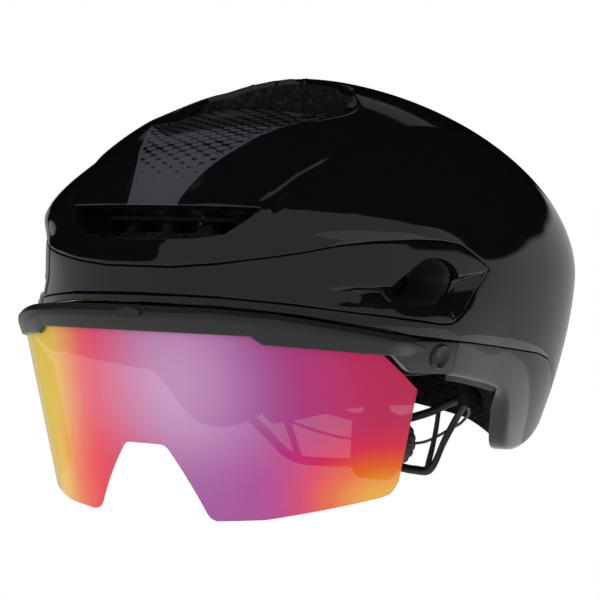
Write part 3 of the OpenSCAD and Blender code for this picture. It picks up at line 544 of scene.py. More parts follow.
def rounded(corners: Sequence[Place], radius: float, steps: int = 5) -> list[Place]:
    """Returns an outline with each corner rounded by about a radius, as a chain of short steps."""
    out: list[Place] = []
    n = len(corners)
    for k in range(n):
        a, b, c = (Vector(corners[(k + s) % n]) for s in (-1, 0, 1))
        cut = min(radius, (a - b).length * 0.45, (c - b).length * 0.45)
        p, q = b + (a - b).normalized() * cut, b + (c - b).normalized() * cut
        for s in range(steps + 1):
            w = s / steps
            r = p * (1 - w) ** 2 + b * 2 * w * (1 - w) + q * w * w
            out.append((r[0], r[1]))
    return out


class Net:
    """A node tree under construction, for a material or a group."""

    def __init__(self, tree: Tree) -> None:
        """Starts from an empty tree."""
        self.tree = tree
        tree.nodes.clear()

    def add(self, kind: str, links: Optional[dict[str, object]] = None, **settings: object) -> Node:
        """Adds a node.

        Args:
            kind: The node's type name.
            links: Values or sockets for its inputs, by name or index.
            settings: The node's own settings.

        Returns:
            The node.
        """
        node = self.tree.nodes.new(kind)
        for key, value in settings.items():
            setattr(node, key, value)
        for key, value in (links or {}).items():
            socket = node.inputs[int(key) if key.isdigit() else key]
            if isinstance(value, bpy.types.NodeSocket):
                self.tree.links.new(value, socket)
            else:
                socket.default_value = value
        return node

    def math(self, how: str, a: object, b: object = 0.0, c: object = 0.0) -> Socket:
        """Returns the result of a Math node on up to three values."""
        return self.add("ShaderNodeMath", {"0": a, "1": b, "2": c}, operation=how).outputs[0]

    def mapped(self, value: object, low: float, high: float, to_low: float = 0.0, to_high: float = 1.0,
               soft: bool = False) -> Socket:
        """Returns a value taken from one range to another."""
        how = "SMOOTHSTEP" if soft else "LINEAR"
        return self.add("ShaderNodeMapRange", {"0": value, "1": low, "2": high, "3": to_low, "4": to_high},
                        interpolation_type=how).outputs[0]

    def times(self, *values: object) -> Socket:
        """Returns the product of values."""
        return reduce(lambda a, b: self.math("MULTIPLY", a, b), values)

    def parts(self, vector: Socket) -> list[Socket]:
        """Returns a vector's three values."""
        return list(self.add("ShaderNodeSeparateXYZ", {"0": vector}).outputs)

    def noise(self, vector: Socket, scale: object, detail: float, rough: float = 0.5) -> Socket:
        """Returns a noise over a vector."""
        return self.add("ShaderNodeTexNoise", {"Vector": vector, "Scale": scale, "Detail": detail,
                                               "Roughness": rough}).outputs[0]

    def cells(self, vector: Socket, scale: object, feature: str) -> Node:
        """Returns a node of cells over a vector."""
        return self.add("ShaderNodeTexVoronoi", {"Vector": vector, "Scale": scale}, feature=feature)

    def effect(self, tree: Tree, vector: Socket, **values: float) -> Outputs:
        """Adds a shared group over a vector and returns its outputs."""
        return self.add("ShaderNodeGroup", {"Vector": vector, **values}, node_tree=tree).outputs

    def bump(self, height: Socket, depth: float, strength: float) -> Socket:
        """Returns the normal over a height of some depth in mm."""
        return self.add("ShaderNodeBump", {"Height": height, "Distance": depth * MM,
                                           "Strength": strength}).outputs[0]

    def ramp(self, value: object, stops: Stops) -> Socket:
        """Returns a colour read from stops of place and colour."""
        node = self.add("ShaderNodeValToRGB", {"0": value})
        marks = node.color_ramp.elements
        while len(marks) < len(stops):
            marks.new(0.5)
        for mark, (place, colour) in zip(marks, stops):
            mark.position = place
            mark.color = (*colour[:3], 1.0)
        return node.outputs[0]

    def mix(self, share: object, a: object, b: object) -> Socket:
        """Returns two colours mixed by a share."""
        node = self.add("ShaderNodeMix", {"0": share}, data_type="RGBA")
        for socket, value in ((node.inputs[6], a), (node.inputs[7], b)):
            if isinstance(value, bpy.types.NodeSocket):
                self.tree.links.new(value, socket)
            else:
                socket.default_value = (*value[:3], 1.0)
        return node.outputs[2]

    def place(self, scale: Point = (1, 1, 1), turn: Point = (0, 0, 0), uv: bool = False) -> Socket:
        """Returns the piece's Object or UV coordinates, scaled and turned."""
        source = self.add("ShaderNodeTexCoord").outputs["UV" if uv else "Object"]
        return self.add("ShaderNodeMapping", {"Vector": source, "Scale": scale, "Rotation": turn}).outputs[0]


@dataclass
class Skin:
    """The shell's outer face: the rounded body with its hood, shoulders and ramp.

    Attributes:
        shoulder: How far the shoulders beside the slot stand out.
        hood_drop: Step down from the hood's crease to the sides.
        ramp_depth: Depth of the ramp before the top vent.
        brow_out: How far the edge under the slot stands out over the panel.
        shoulder_foot: Heights between which the shoulder rises.
        shoulder_top: Lowest height at which it may end.
        shoulder_start: Plan angles between which it begins.
        shoulder_end: Plan angles between which it ends.
        hood_start: Plan angles between which the hood's step begins.
        hood_end: Plan angles between which it ends.
        ramp_start: Places along Y between which the ramp sinks.
        ramp_end: Places along Y between which it comes back.
        brow_top: Heights between which the standing edge ends.
        brow_end: Plan angles between which it ends.
        ramp_half: Half width of the ramp by place along Y.
    """

    shoulder: float = 4.0
    hood_drop: float = 0.9
    ramp_depth: float = 6.0
    brow_out: float = 1.1
    shoulder_foot: Place = (36, 48)
    shoulder_top: float = 56.0
    shoulder_start: Place = (18.5, 25)
    shoulder_end: Place = (44, 66)
    hood_start: Place = (18.6, 20.5)
    hood_end: Place = (62, 88)
    ramp_start: Place = (-104, -66)
    ramp_end: Place = (-30, -18)
    brow_top: Place = (25, 37)
    brow_end: Place = (24, 44)
    ramp_half: Table = ((-120, 15.5), (-110, 18.5), (-98, 22.5), (-91, 25.5), (-84, 29.5), (-78, 33), (-71.5, 37.5),
                        (-65, 41.5), (-60, 44), (-54, 46), (-47, 47), (-42, 45.5), (-37, 43), (-32, 38.5), (-27, 33))

    def relief(self, t: float, p: Vector) -> float:
        """Returns how far the face stands out of the rounded body at plan angle t and point p."""
        a, z = abs(t), p[2]
        crease = lookup(a, FORM.crease)
        rise = self.shoulder * smooth(*self.shoulder_foot, z) * fade(50, max(self.shoulder_top, crease), z)
        out = rise * smooth(*self.shoulder_start, a) * fade(*self.shoulder_end, a)
        drop = self.hood_drop * fade(crease + 0.1, crease + 0.8, z) * smooth(crease - 34, crease - 2, z)
        out -= drop * smooth(*self.hood_start, a) * fade(*self.hood_end, a)
        half = sum(lookup(p[1] + k, self.ramp_half) for k in (-4, -2, 0, 2, 4)) / 5
        wall = fade(half - 9, half + 3.5, abs(p[0]))
        out -= self.ramp_depth * smooth(*self.ramp_start, p[1]) * wall * fade(*self.ramp_end, p[1])
        out += self.brow_out * fade(*self.brow_top, z) * fade(*self.brow_end, a)
        return out

    def at(self, t: float, lat: float, inset: float = 0.0) -> Vector:
        """Returns the face's point at plan angle t and latitude lat, drawn in by an inset."""
        return FORM.at_latitude(t, lat, self.relief(t, FORM.at_latitude(t, lat)) - inset)


SKIN = Skin()


@dataclass
class Station:
    """A place on the helmet's side with its own axes.

    Attributes:
        origin: The place in mm.
        across: The way round the helmet.
        along: The way up.
        outward: The way out.
    """

    origin: Vector
    across: Vector
    along: Vector
    outward: Vector

    @staticmethod
    def on_skin(t: float, z: float) -> "Station":
        """Returns the station on the rounded body at plan angle t and height z."""
        across = (FORM.skin(t + 2, z) - FORM.skin(t - 2, z)).normalized()
        up = (FORM.skin(t, z + 1) - FORM.skin(t, z - 1)).normalized()
        outward = across.cross(up).normalized()
        return Station(FORM.skin(t, z), across, outward.cross(across), outward)

    def at(self, u: float, v: float, w: float) -> Vector:
        """Returns the point at u across, v up and w out."""
        return self.origin + self.across * u + self.along * v + self.outward * w


def grown(corners: Sequence[Place], middle: Place, share: float) -> list[Vector]:
    """Returns corners moved away from a middle by a share of their distance to it."""
    return [Vector(middle) + (Vector(c) - Vector(middle)) * (1 + share) for c in corners]


DUCT_MIDDLE, VENT_MIDDLE = (-58.0, 25.0), (0.0, -34.0)
DUCT = ((-75.5, 21.5), (-65.5, 30.5), (-60, 34.5), (-52, 35), (-44.5, 32), (-40.5, 27), (-43.5, 20.5),
        (-52, 16), (-67, 15), (-73.5, 17))
VENT = ((-31, -54), (31, -54), (38, -44), (38, -27), (22.8, -18), (0, -14), (-22.8, -18), (-38, -27), (-38, -44))


def duct_hole(side: Side, grow: float = 0.0) -> Hole:
    """Returns the side duct's outline on one side, seen along X."""
    s = side.value
    outline = [(y * s, z) for y, z in rounded(grown(DUCT, DUCT_MIDDLE, grow / 13.0), 3.0)]
    return Hole(outline, Vector((0, 0, 0)), Vector((0, s, 0)), Vector((0, 0, 1)))


def vent_hole(grow: float = 0.0) -> Hole:
    """Returns the top vent's outline, seen from above."""
    outline = rounded(grown(VENT, VENT_MIDDLE, grow / 28.0), 5.0)
    return Hole(outline, Vector((0, 0, 60)), Vector((1, 0, 0)), Vector((0, 1, 0)))


def box(half: float, tall: float) -> list[Place]:
    """Returns the corners of a box of half sizes."""
    return [(-half, -tall), (half, -tall), (half, tall), (-half, tall)]


def port_hole(side: Side) -> Hole:
    """Returns a rear exhaust port's outline, seen along its own plan angle."""
    a = math.radians(side.value * 140.0)
    out = Vector((math.sin(a), -math.cos(a), 0))
    up = Vector((0, 0, 1))
    return Hole(rounded(box(17.0, 8.0), 6.0), Vector((0, FORM.centre_y, 34)), up.cross(out), up)


class MainShell:
    """The glossy outer shell with its slot, top vent and exhaust ports.

    Attributes:
        wall: The shell's thickness in mm.
        slot_lip: Width of the slot's inner lip.
        slot_edge: Width of the small face before that lip.
        collar: Depth of the collar in the top vent.
        brow_lip: Width of the brim's inner lip.
        stray: How far a point may stand outside the face.
        crown_slope: Rise of the face at the crown for 1 mm back.
        row_counts: Steps between the shell's lines, from the rim to the crown.
    """

    wall: float = 1.6
    slot_lip: float = 5.0
    slot_edge: float = 0.4
    collar: float = 4.5
    brow_lip: float = 6.0
    stray: float = 0.3
    crown_slope: float = 0.085
    row_counts: Sequence[int] = (6, 8, 7, 7, 14, 2, 60)

    def keys(self, t: float) -> list[float]:
        """Returns the latitudes of the shell's lines at plan angle t, from the rim to the crown."""
        a = abs(t)
        crease = lookup(a, FORM.crease)
        heights = (*(lookup(a, line) for line in (FORM.rim_line, FORM.panel_low, FORM.panel_top)), FORM.slot_low(t),
                   FORM.slot_top, crease, crease + 0.9)
        return [FORM.latitude(t, z) for z in heights] + [90.0]

    def build(self) -> Piece:
        """Models the shell and returns it."""
        turns = mirrored([0, 14, FORM.slot_half, 30, FORM.panel_end, 100, 180], [14, 8, 14, 38, 26, 40])
        rows = [spread(self.keys(t), self.row_counts) for t in turns]
        marks = [sum(self.row_counts[:k]) for k in range(len(self.row_counts) + 1)]
        shell = Make.grid("shell_body", len(turns), len(rows[0]), lambda i, j: SKIN.at(turns[i], rows[i][j]),
                          centre=(0, 10, 30))
        self.map_skin(shell, len(turns))

        def opened(i: int, j: int) -> bool:
            a = abs(turns[i] + turns[i + 1]) / 2
            panel = marks[1] <= j < marks[2] and a < FORM.panel_end
            return panel or (marks[3] <= j < marks[4] and a < FORM.slot_half)

        Make.open_cells(shell, len(turns), opened)
        vent_hole().cut(shell)
        for side in Side:
            port_hole(side).cut(shell)
        Make.weld(shell)
        Make.thin_out(shell, FORM.at_latitude(0, 90.0), 15.0, 1.1)
        self.turn_rims(shell)
        Make.wall(shell, self.wall, edge=0.35, even=False)
        self.draw_back(shell)
        return shell

    def turn_rims(self, shell: Piece) -> None:
        """Turns the rims of the slot, the top vent and the brim inwards."""

        def inwards(p: Vector) -> Vector:
            return Vector((-p[0], -p[1], 0)).normalized()

        def chamfer(p: Vector) -> Vector:
            return inwards(p) * self.slot_edge + Vector((0, 0, -self.slot_edge if p[2] > 49.5 else 0.3))

        Make.lip(shell, lambda p: 35 < p[2] < 52 and p[1] < -95, lambda p: inwards(p) * self.slot_lip, chamfer)
        Make.lip(shell, lambda p: p[2] > 80, lambda p: Vector((0, 0, -self.collar)))
        Make.lip(shell, lambda p: p[2] < 12.5 and p[1] < -42,
                 lambda p: Vector((-p[0], FORM.centre_y - p[1], -12)).normalized() * self.brow_lip)

    def draw_back(self, shell: Piece) -> None:
        """Brings back the few points that the rounding of the rims threw out of the face."""
        for vertex in shell.data.vertices:
            p = vertex.co / MM
            crown = min(FORM.crown_height, FORM.crown_height + 0.65 + self.crown_slope * p.y)
            if p.z > crown:
                vertex.co.z = crown * MM
            elif 20 < p.z < FORM.wide_height + 4 and p.y < 0:
                t = math.degrees(math.atan2(p.x, FORM.centre_y - p.y))
                face = SKIN.at(t, FORM.latitude(t, p.z))
                if math.hypot(p.x, p.y - FORM.centre_y) > math.hypot(face.x, face.y - FORM.centre_y) + self.stray:
                    vertex.co.x, vertex.co.y = face.x * MM, face.y * MM

    def map_skin(self, shell: Piece, columns: int) -> None:
        """Lays a map over the shell: X across and the length up each column, in metres."""
        mesh = shell.data
        length = [0.0] * len(mesh.vertices)
        for k in range(columns, len(length)):
            length[k] = length[k - columns] + (mesh.vertices[k].co - mesh.vertices[k - columns].co).length
        layer = mesh.uv_layers[0]
        for loop in mesh.loops:
            layer.data[loop.index].uv = (mesh.vertices[loop.vertex_index].co.x, length[loop.vertex_index])


class BrowPanel:
    """The brow panel that wraps round the front, with a duct at each side.

    Attributes:
        wall: The panel's thickness in mm.
        wedge_depth: Depth of the ramp into a duct.
        facet_depth: Depth of the facet behind a duct.
        rows: Steps over the panel's height.
        ease: Half of the width over which a ramp or facet begins.
    """

    wall: float = 2.2
    wedge_depth: float = 3.5
    facet_depth: float = 3.2
    rows: int = 30
    ease: float = 0.6

    @classmethod
    def pocket(cls, p: Vector) -> float:
        """Returns how deep the liner must lie under the panel at point p to clear its ramp and facet."""
        moves = ((0, 0), (-3.5, 0), (3.5, 0), (0, -2.5), (0, 2.5))
        return max(cls.relief(p + Vector((0, y, z))) for y, z in moves)

    @classmethod
    def relief(cls, p: Vector) -> float:
        """Returns how far the panel stands in at point p: the ramp into the duct and the facet behind it."""
        y, z = p[1], p[2]

        def past(edge: float, x: float) -> float:
            return smooth(edge - cls.ease, edge + cls.ease, x)

        low, high = lookup(y, ((-101, 13.6), (-74, 15.2))), lookup(y, ((-101, 19.4), (-74, 21.6)))
        inside = past(low, z) * (1 - past(high, z))
        wedge = cls.wedge_depth * smooth(-102, -76, y) * inside * fade(-64, -60, y)
        inner = (y + 42) * -0.768 + (z - 8.7) * 0.64
        top, left = 27.5 + (y + 40.5) * 0.23, -48 + (17 - z) * 0.64
        facet = cls.facet_depth * min(1.0, max(0.0, (inner - 1.0) / 8.5))
        facet *= (1 - past(top, z)) * past(left, y)
        return max(wedge, facet)

    def build(self) -> Piece:
        """Models the panel and returns it."""
        turns = mirrored([0, 14, 28, 44, 60, FORM.panel_end - 0.5], [12, 12, 18, 34, 13])

        def place(i: int, j: int) -> Vector:
            t = turns[i]
            low = lookup(abs(t), FORM.panel_low) + FORM.seam
            high = max(low + 0.6, lookup(abs(t), FORM.panel_top) - FORM.seam)
            z = low + (high - low) * j / self.rows
            return FORM.skin(t, z, -self.relief(FORM.skin(abs(t), z)))

        panel = Make.grid("brow_panel_skin", len(turns), self.rows + 1, place, centre=(0, 10, 30))
        Make.wall(panel, self.wall, edge=0.45)
        Make.carve(panel, [duct_hole(side).prism(60, 125) for side in Side])
        Make.smooth(panel)
        return panel


class DuctSleeve:
    """The flared lining of a side duct, from the panel to the foam."""

    def build(self, side: Side) -> Piece:
        """Models the sleeve of one side and returns it."""
        base = duct_hole(Side.LEFT).outline

        def ring(depth: float, grow: float) -> list[Vector]:
            out = []
            for y, z in base:
                x = self.reach(y, z) - 1.4 + depth
                d = (Vector((y, z)) - Vector(DUCT_MIDDLE)).normalized() * grow
                out.append(Vector((x, y + d[0], z + d[1])))
            return out

        rings = [ring(-2.4, 0.1), ring(-7, -0.5), ring(-14, -1.8), ring(-21, -3.2)]
        sleeve = Make.sweep(side.label("duct_lining"), rings, caps=False)
        if side is Side.RIGHT:
            Make.flip(sleeve)
        Make.wall(sleeve, 1.2, edge=0.2, offset=1.0)
        return sleeve

    def reach(self, y: float, z: float) -> float:
        """Returns the panel's X at a place in the side view."""
        low, high = 30.0, 80.0
        for _ in range(24):
            t = (low + high) / 2
            low, high = (t, high) if FORM.skin(t, z)[1] < y else (low, t)
        return FORM.skin(low, z)[0]


class EarCover:
    """A cover over one ear, its lower edge turned inwards.

    Attributes:
        wall: The cover's thickness in mm.
        front: Plan angle of its front end in degrees.
        back: Plan angle of its rear end.
        turn: Radius of its lower edge.
        flange: Width of the inner flange behind the ear's opening.
        low_line: Height of the lower edge by plan angle.
        lean_line: Plan angle at the upper edge by that at the lower one.
    """

    wall: float = 2.08
    front: float = 59.2
    back: float = 129.4
    turn: float = 2.6
    flange: float = 6.5
    low_line: Table = ((50, -10), (53.5, -11.5), (64, -13), (80, -16.5), (84, -18), (87, -20.5), (89.5, -24),
                       (92, -29), (94.5, -35), (97, -40.2), (99.5, -43.6), (103, -45.5), (110, -45.8), (119, -42.8),
                       (129.4, -35.5), (140, -28))
    lean_line: Table = ((59.2, 59.2), (78, 78), (84, 86), (90, 95), (95, 102), (100, 107), (110, 113), (120, 121),
                        (129.4, 129.4))

    def low(self, t: float) -> float:
        """Returns the height of the cover's lower edge at plan angle t, with its corners eased."""
        return sum(lookup(t + k * 0.6, self.low_line) for k in range(-4, 5)) / 9

    def inward(self, t: float) -> tuple[float, float]:
        """Returns the way into the cover from its lower edge at t, as degrees of t and mm of height for 1 mm."""
        arc = (FORM.skin(t + 0.5, 0) - FORM.skin(t - 0.5, 0)).length
        slope = (self.low(t + 1) - self.low(t - 1)) / (2 * arc)
        size = math.hypot(slope, 1)
        return -slope / size / arc, 1 / size

    def build(self) -> Piece:
        """Models the wearer's left cover and returns it."""
        turns = spread([self.front, 82, 99, 112, self.back], [26, 44, 20, 18])
        rise, bend = 24, 6

        def place(i: int, j: int) -> Vector:
            t = turns[i]
            low, (across, up) = self.low(t), self.inward(t)
            across *= smooth(self.front, self.front + 4, t) * fade(self.back - 4, self.back, t)
            if j == 0:
                return FORM.skin(t, low, -self.turn - self.flange * smooth(82, 92, t))
            if j < bend + 2:
                a = math.radians(90.0 * (bend + 1 - j) / bend)
                away = self.turn * (1 - math.sin(a))
                return FORM.skin(t + across * away, low + up * away, -self.turn * (1 - math.cos(a)))
            share = (j - bend - 1) / rise
            start, foot = t + across * self.turn, low + up * self.turn
            lean = lookup(t, self.lean_line) - t
            end = start + (lean - across * self.turn) if lean else t
            turn = start + (end - start) * smooth(0, 1, share)
            high = lookup(turn, FORM.rim_line) - FORM.seam
            return FORM.skin(turn, foot + (high - foot) * share)

        cover = Make.grid("ear_cover_skin_left", len(turns), bend + rise + 2, place, centre=(0, 10, -10))
        Make.wall(cover, self.wall, edge=0.35, even=False)
        return cover


class Lens:
    """The mirrored lens of the shield.

    Attributes:
        wall: The lens's thickness in mm.
        half_width: Half width of its oval in plan, at z 0.
        depth: Reach of the oval forward from centre_y.
        centre_y: Y of the oval's middle.
        lean: How far the lens draws in for 1 mm down.
        power: Power of the oval.
        side: Plan parameter of the lens's ends.
        top_line: Height of the upper edge by plan parameter.
        low_line: Height of the lower edge, with the notch for the nose.
    """

    wall: float = 1.6
    half_width: float = 101.5
    depth: float = 111.0
    centre_y: float = -16.5
    lean: float = 0.24
    power: float = 2.5
    side: float = 70.0
    top_line: Table = ((0, 0), (24, 0), (27, -3), (58, -4.8), (70, -18))
    low_line: Table = ((0, -44.6), (2.6, -44.6), (3.4, -45.0), (4.2, -46.3), (13.5, -71.2), (14.4, -72.7),
                       (15.9, -73.6), (30, -71.8), (65, -61.9), (67.6, -60.7), (68.8, -59.0), (70, -55.4))

    @staticmethod
    def at(q: float, z: float, out: float = 0.0) -> Vector:
        """Returns the lens's outer face at plan parameter q and height z, a distance out of it."""
        s, a, e = -Lens.lean * z, math.radians(q), 2.0 / Lens.power
        x = (Lens.half_width - s + out) * math.copysign(abs(math.sin(a)) ** e, math.sin(a))
        return Vector((x, Lens.centre_y - (Lens.depth - s + out) * abs(math.cos(a)) ** e, z))

    def top(self, q: float) -> float:
        """Returns the lens's upper edge at q: tucked into the frame, free at its outer corners."""
        a = abs(q)
        return lookup(a, self.top_line) + 3.0 * fade(57, 58.4, a)

    def build(self) -> Piece:
        """Models the lens and returns it."""
        keys = [0, 2.6, 3.4, 4.2, 13.5, 14.4, 15.9, 24, 27, 57, 58.4, 67.6, 68.8, self.side]
        turns = mirrored(keys, [4, 2, 2, 14, 2, 2, 12, 4, 50, 3, 16, 3, 3])
        rows = 30

        def place(i: int, j: int) -> Vector:
            low, high = lookup(abs(turns[i]), self.low_line), self.top(turns[i])
            return Lens.at(turns[i], low + (high - low) * j / rows)

        lens = Make.grid("shield_lens", len(turns), rows + 1, place, centre=(0, 60, -30))
        Make.wall(lens, self.wall, edge=0.35)
        return lens


class ShieldFrame:
    """The frame over the lens, with a magnet boss at each end.

    Attributes:
        end: Plan parameter of the beam's ends.
        back: Depth of the beam behind the lens's face.
        lip: How far the beam stands out before it.
        boss_t: Plan angle of a boss.
        boss_z: Height of a boss.
        boss_rings: Radius of a boss by its height over the tab, from its foot to its dish.
        top_line: Height of the beam's upper edge by plan parameter.
    """

    end: float = 71.0
    back: float = 4.6
    lip: float = 1.8
    boss_t: float = 54.6
    boss_z: float = -4.4
    boss_rings: Table = ((5.7, -0.5), (5.5, 0.5), (5.1, 1.3), (4.7, 1.6), (4.3, 1.5), (3.5, 0.8), (2.0, 0.35),
                         (0.4, 0.25))
    top_line: Table = ((0, 10.3), (15, 10.1), (30, 8.9), (45, 6.2), (60, 3.6), (78, 1.6))

    def low(self, q: float) -> float:
        """Returns the frame's lower edge at q."""
        return lookup(min(abs(q), 58.0), Lens.top_line)

    def section(self, q: float) -> list[Vector]:
        """Returns the frame's outline across the lens's edge at q."""
        z0, z1 = self.low(q), lookup(abs(q), self.top_line)
        shift = -4.9 * smooth(58, 70, abs(q))
        corners = ((self.lip, z0), (self.lip + 0.6, (z0 + z1) / 2), (self.lip + 0.2, z1 - 2.4), (self.lip - 2.2, z1),
                   (1.2 - self.back, z1), (-self.back, z1 - 1.0), (-self.back, z0 + 0.8), (-1.9, z0 + 0.8),
                   (-1.9, z0 + 3.3), (0.3, z0 + 3.3), (0.3, z0))
        return [Lens.at(q, z, out + shift) for out, z in rounded(corners, 0.6, 3)]

    def beam(self) -> Piece:
        """Models the beam."""
        turns = mirrored([0, 23.6, 24.4, 26.6, 27.4, 57, self.end], [30, 2, 5, 2, 38, 24])
        beam = Make.sweep("beam", [self.section(q) for q in turns])
        Make.smooth(beam, 30)
        return beam

    def boss(self, side: Side) -> Piece:
        """Models the tab at one end of the beam, with its raised and dished boss."""
        place = Station.on_skin(self.boss_t, self.boss_z)

        def tab(shrink: float, w: float) -> list[Vector]:
            low, high, end = -7.4 + shrink, 6.2 - shrink, 10.0 - shrink
            corners = [(-31 + shrink, 1.0), (-15.5, low), (end, low), (end, high), (-31 + shrink, 5.5 - shrink)]
            return [place.at(u, v, w) for u, v in rounded(corners, 1.6)]

        def disc(radius: float, w: float) -> list[Vector]:
            angles = (math.radians(k * 7.5) for k in range(48))
            return [place.at(radius * math.cos(a), radius * math.sin(a), w) for a in angles]

        plate = Make.sweep("tab", [tab(0, -3.0), tab(0, -0.3), tab(0.15, 0.05), tab(0.5, 0.2)])
        boss = Make.join("boss", [plate, Make.sweep("disc", [disc(radius, w) for radius, w in self.boss_rings])])
        if side is Side.RIGHT:
            Make.flip(boss)
        Make.smooth(boss, 40)
        return boss

    def build(self) -> Piece:
        """Models the frame and returns it."""
        return Make.join("shield_frame", [self.beam(), *(self.boss(side) for side in Side)])


class Liner:
    """The foam liner, with the air ways cut through it.

    Attributes:
        channel_x: X of the air channels behind the slot.
        channel_z: Their height.
        recess: Depth of the foam behind the slot.
        low_line: Height of the liner's lower edge by plan angle.
    """

    channel_x: Sequence[float] = (-27, -9, 9, 27)
    channel_z: float = 44.75
    recess: float = 13.0
    low_line: Table = ((0, -8), (39, -12), (51, -12.5), (58, -12), (64, -10), (84, -14.2), (90, -19.5), (96, -29),
                       (100, -38), (108, -41), (120, -40.5), (127, -37), (131, -43), (142, -40), (156, -34),
                       (180, -28.5))

    def ledge(self, t: float) -> float:
        """Returns the depth of the ledge that the shield sits under at plan angle t."""
        a = abs(t)
        cover = 0.9 * smooth(58, 61, a) * fade(129.5, 133.5, a)
        return 5.0 * fade(12, 26, a) + 9.0 * fade(58, 61, a) + cover

    def column(self, t: float) -> list[Vector]:
        """Returns a column of points from the lower edge up the outside and down the inside."""
        a, inset = abs(t), 2.3
        low, rim = lookup(a, self.low_line), lookup(a, FORM.rim_line)
        top = max(rim - 0.6, low + 2)
        roof = top - 1 + 4 * fade(58, 61, a)
        behind = inset + 0.6 * fade(FORM.panel_end, FORM.panel_end + 4, a)
        ledge = inset + self.ledge(t)
        out = [FORM.skin(t, low + (roof - low) * k / 6, -ledge) for k in range(7)]
        high = max(lookup(a, FORM.panel_top), top + 4) + 1
        under = [top + (high - top) * k / 12 for k in range(13)]
        out += [FORM.skin(t, z, -behind - BrowPanel.pocket(FORM.skin(a, z))) for z in under]
        start = FORM.latitude(t, high + 1.5)
        for k in range(61):
            lat = start + (90 - start) * k / 60
            z = FORM.at_latitude(t, lat)[2]
            slot = smooth(33.5, 36.5, z) * fade(50.5, 53.5, z) * fade(18.5, 22, a)
            out.append(SKIN.at(t, lat, inset + self.recess * slot))
        inner = [FORM.cavity_up(t, 1 - k / 30) for k in range(31)]
        foot = low - 1.0
        inner += [FORM.cavity(t, 20 + (foot - 20) * k / 12) for k in range(1, 13)]
        return out + inner

    def build(self) -> Piece:
        """Models the liner and returns it."""
        turns = mirrored([0, 12, 26, 40, 60, 66, 100, 134, 180], [6, 9, 8, 18, 6, 18, 16, 18])
        columns = [self.column(t) for t in turns]
        closed = [c + [c[0]] for c in columns]
        liner = Make.grid("foam_body", len(turns), len(closed[0]), lambda i, j: closed[i][j])
        Make.weld(liner)
        Make.take(liner)
        bpy.ops.object.mode_set(mode="EDIT")
        bpy.ops.mesh.select_all(action="SELECT")
        bpy.ops.mesh.normals_make_consistent(inside=False)
        bpy.ops.object.mode_set(mode="OBJECT")
        tools = [vent_hole(-0.3).prism(0, 70), *(self.channel(x) for x in self.channel_x)]
        for side in Side:
            tools += [duct_hole(side, 1.3).prism(45, 120), port_hole(side).prism(50, 160)]
        Make.carve(liner, tools)
        Make.smooth(liner, 40)
        return liner

    def channel(self, x: float) -> Piece:
        """Models a tool that cuts an air channel from the front slot to the head."""
        ring = rounded(box(6.5, 4.75), 2.5)
        rings = [[Vector((x + u, y, self.channel_z + v)) for u, v in ring] for y in (-134.0, -86.0)]
        return Make.sweep("tool", rings)


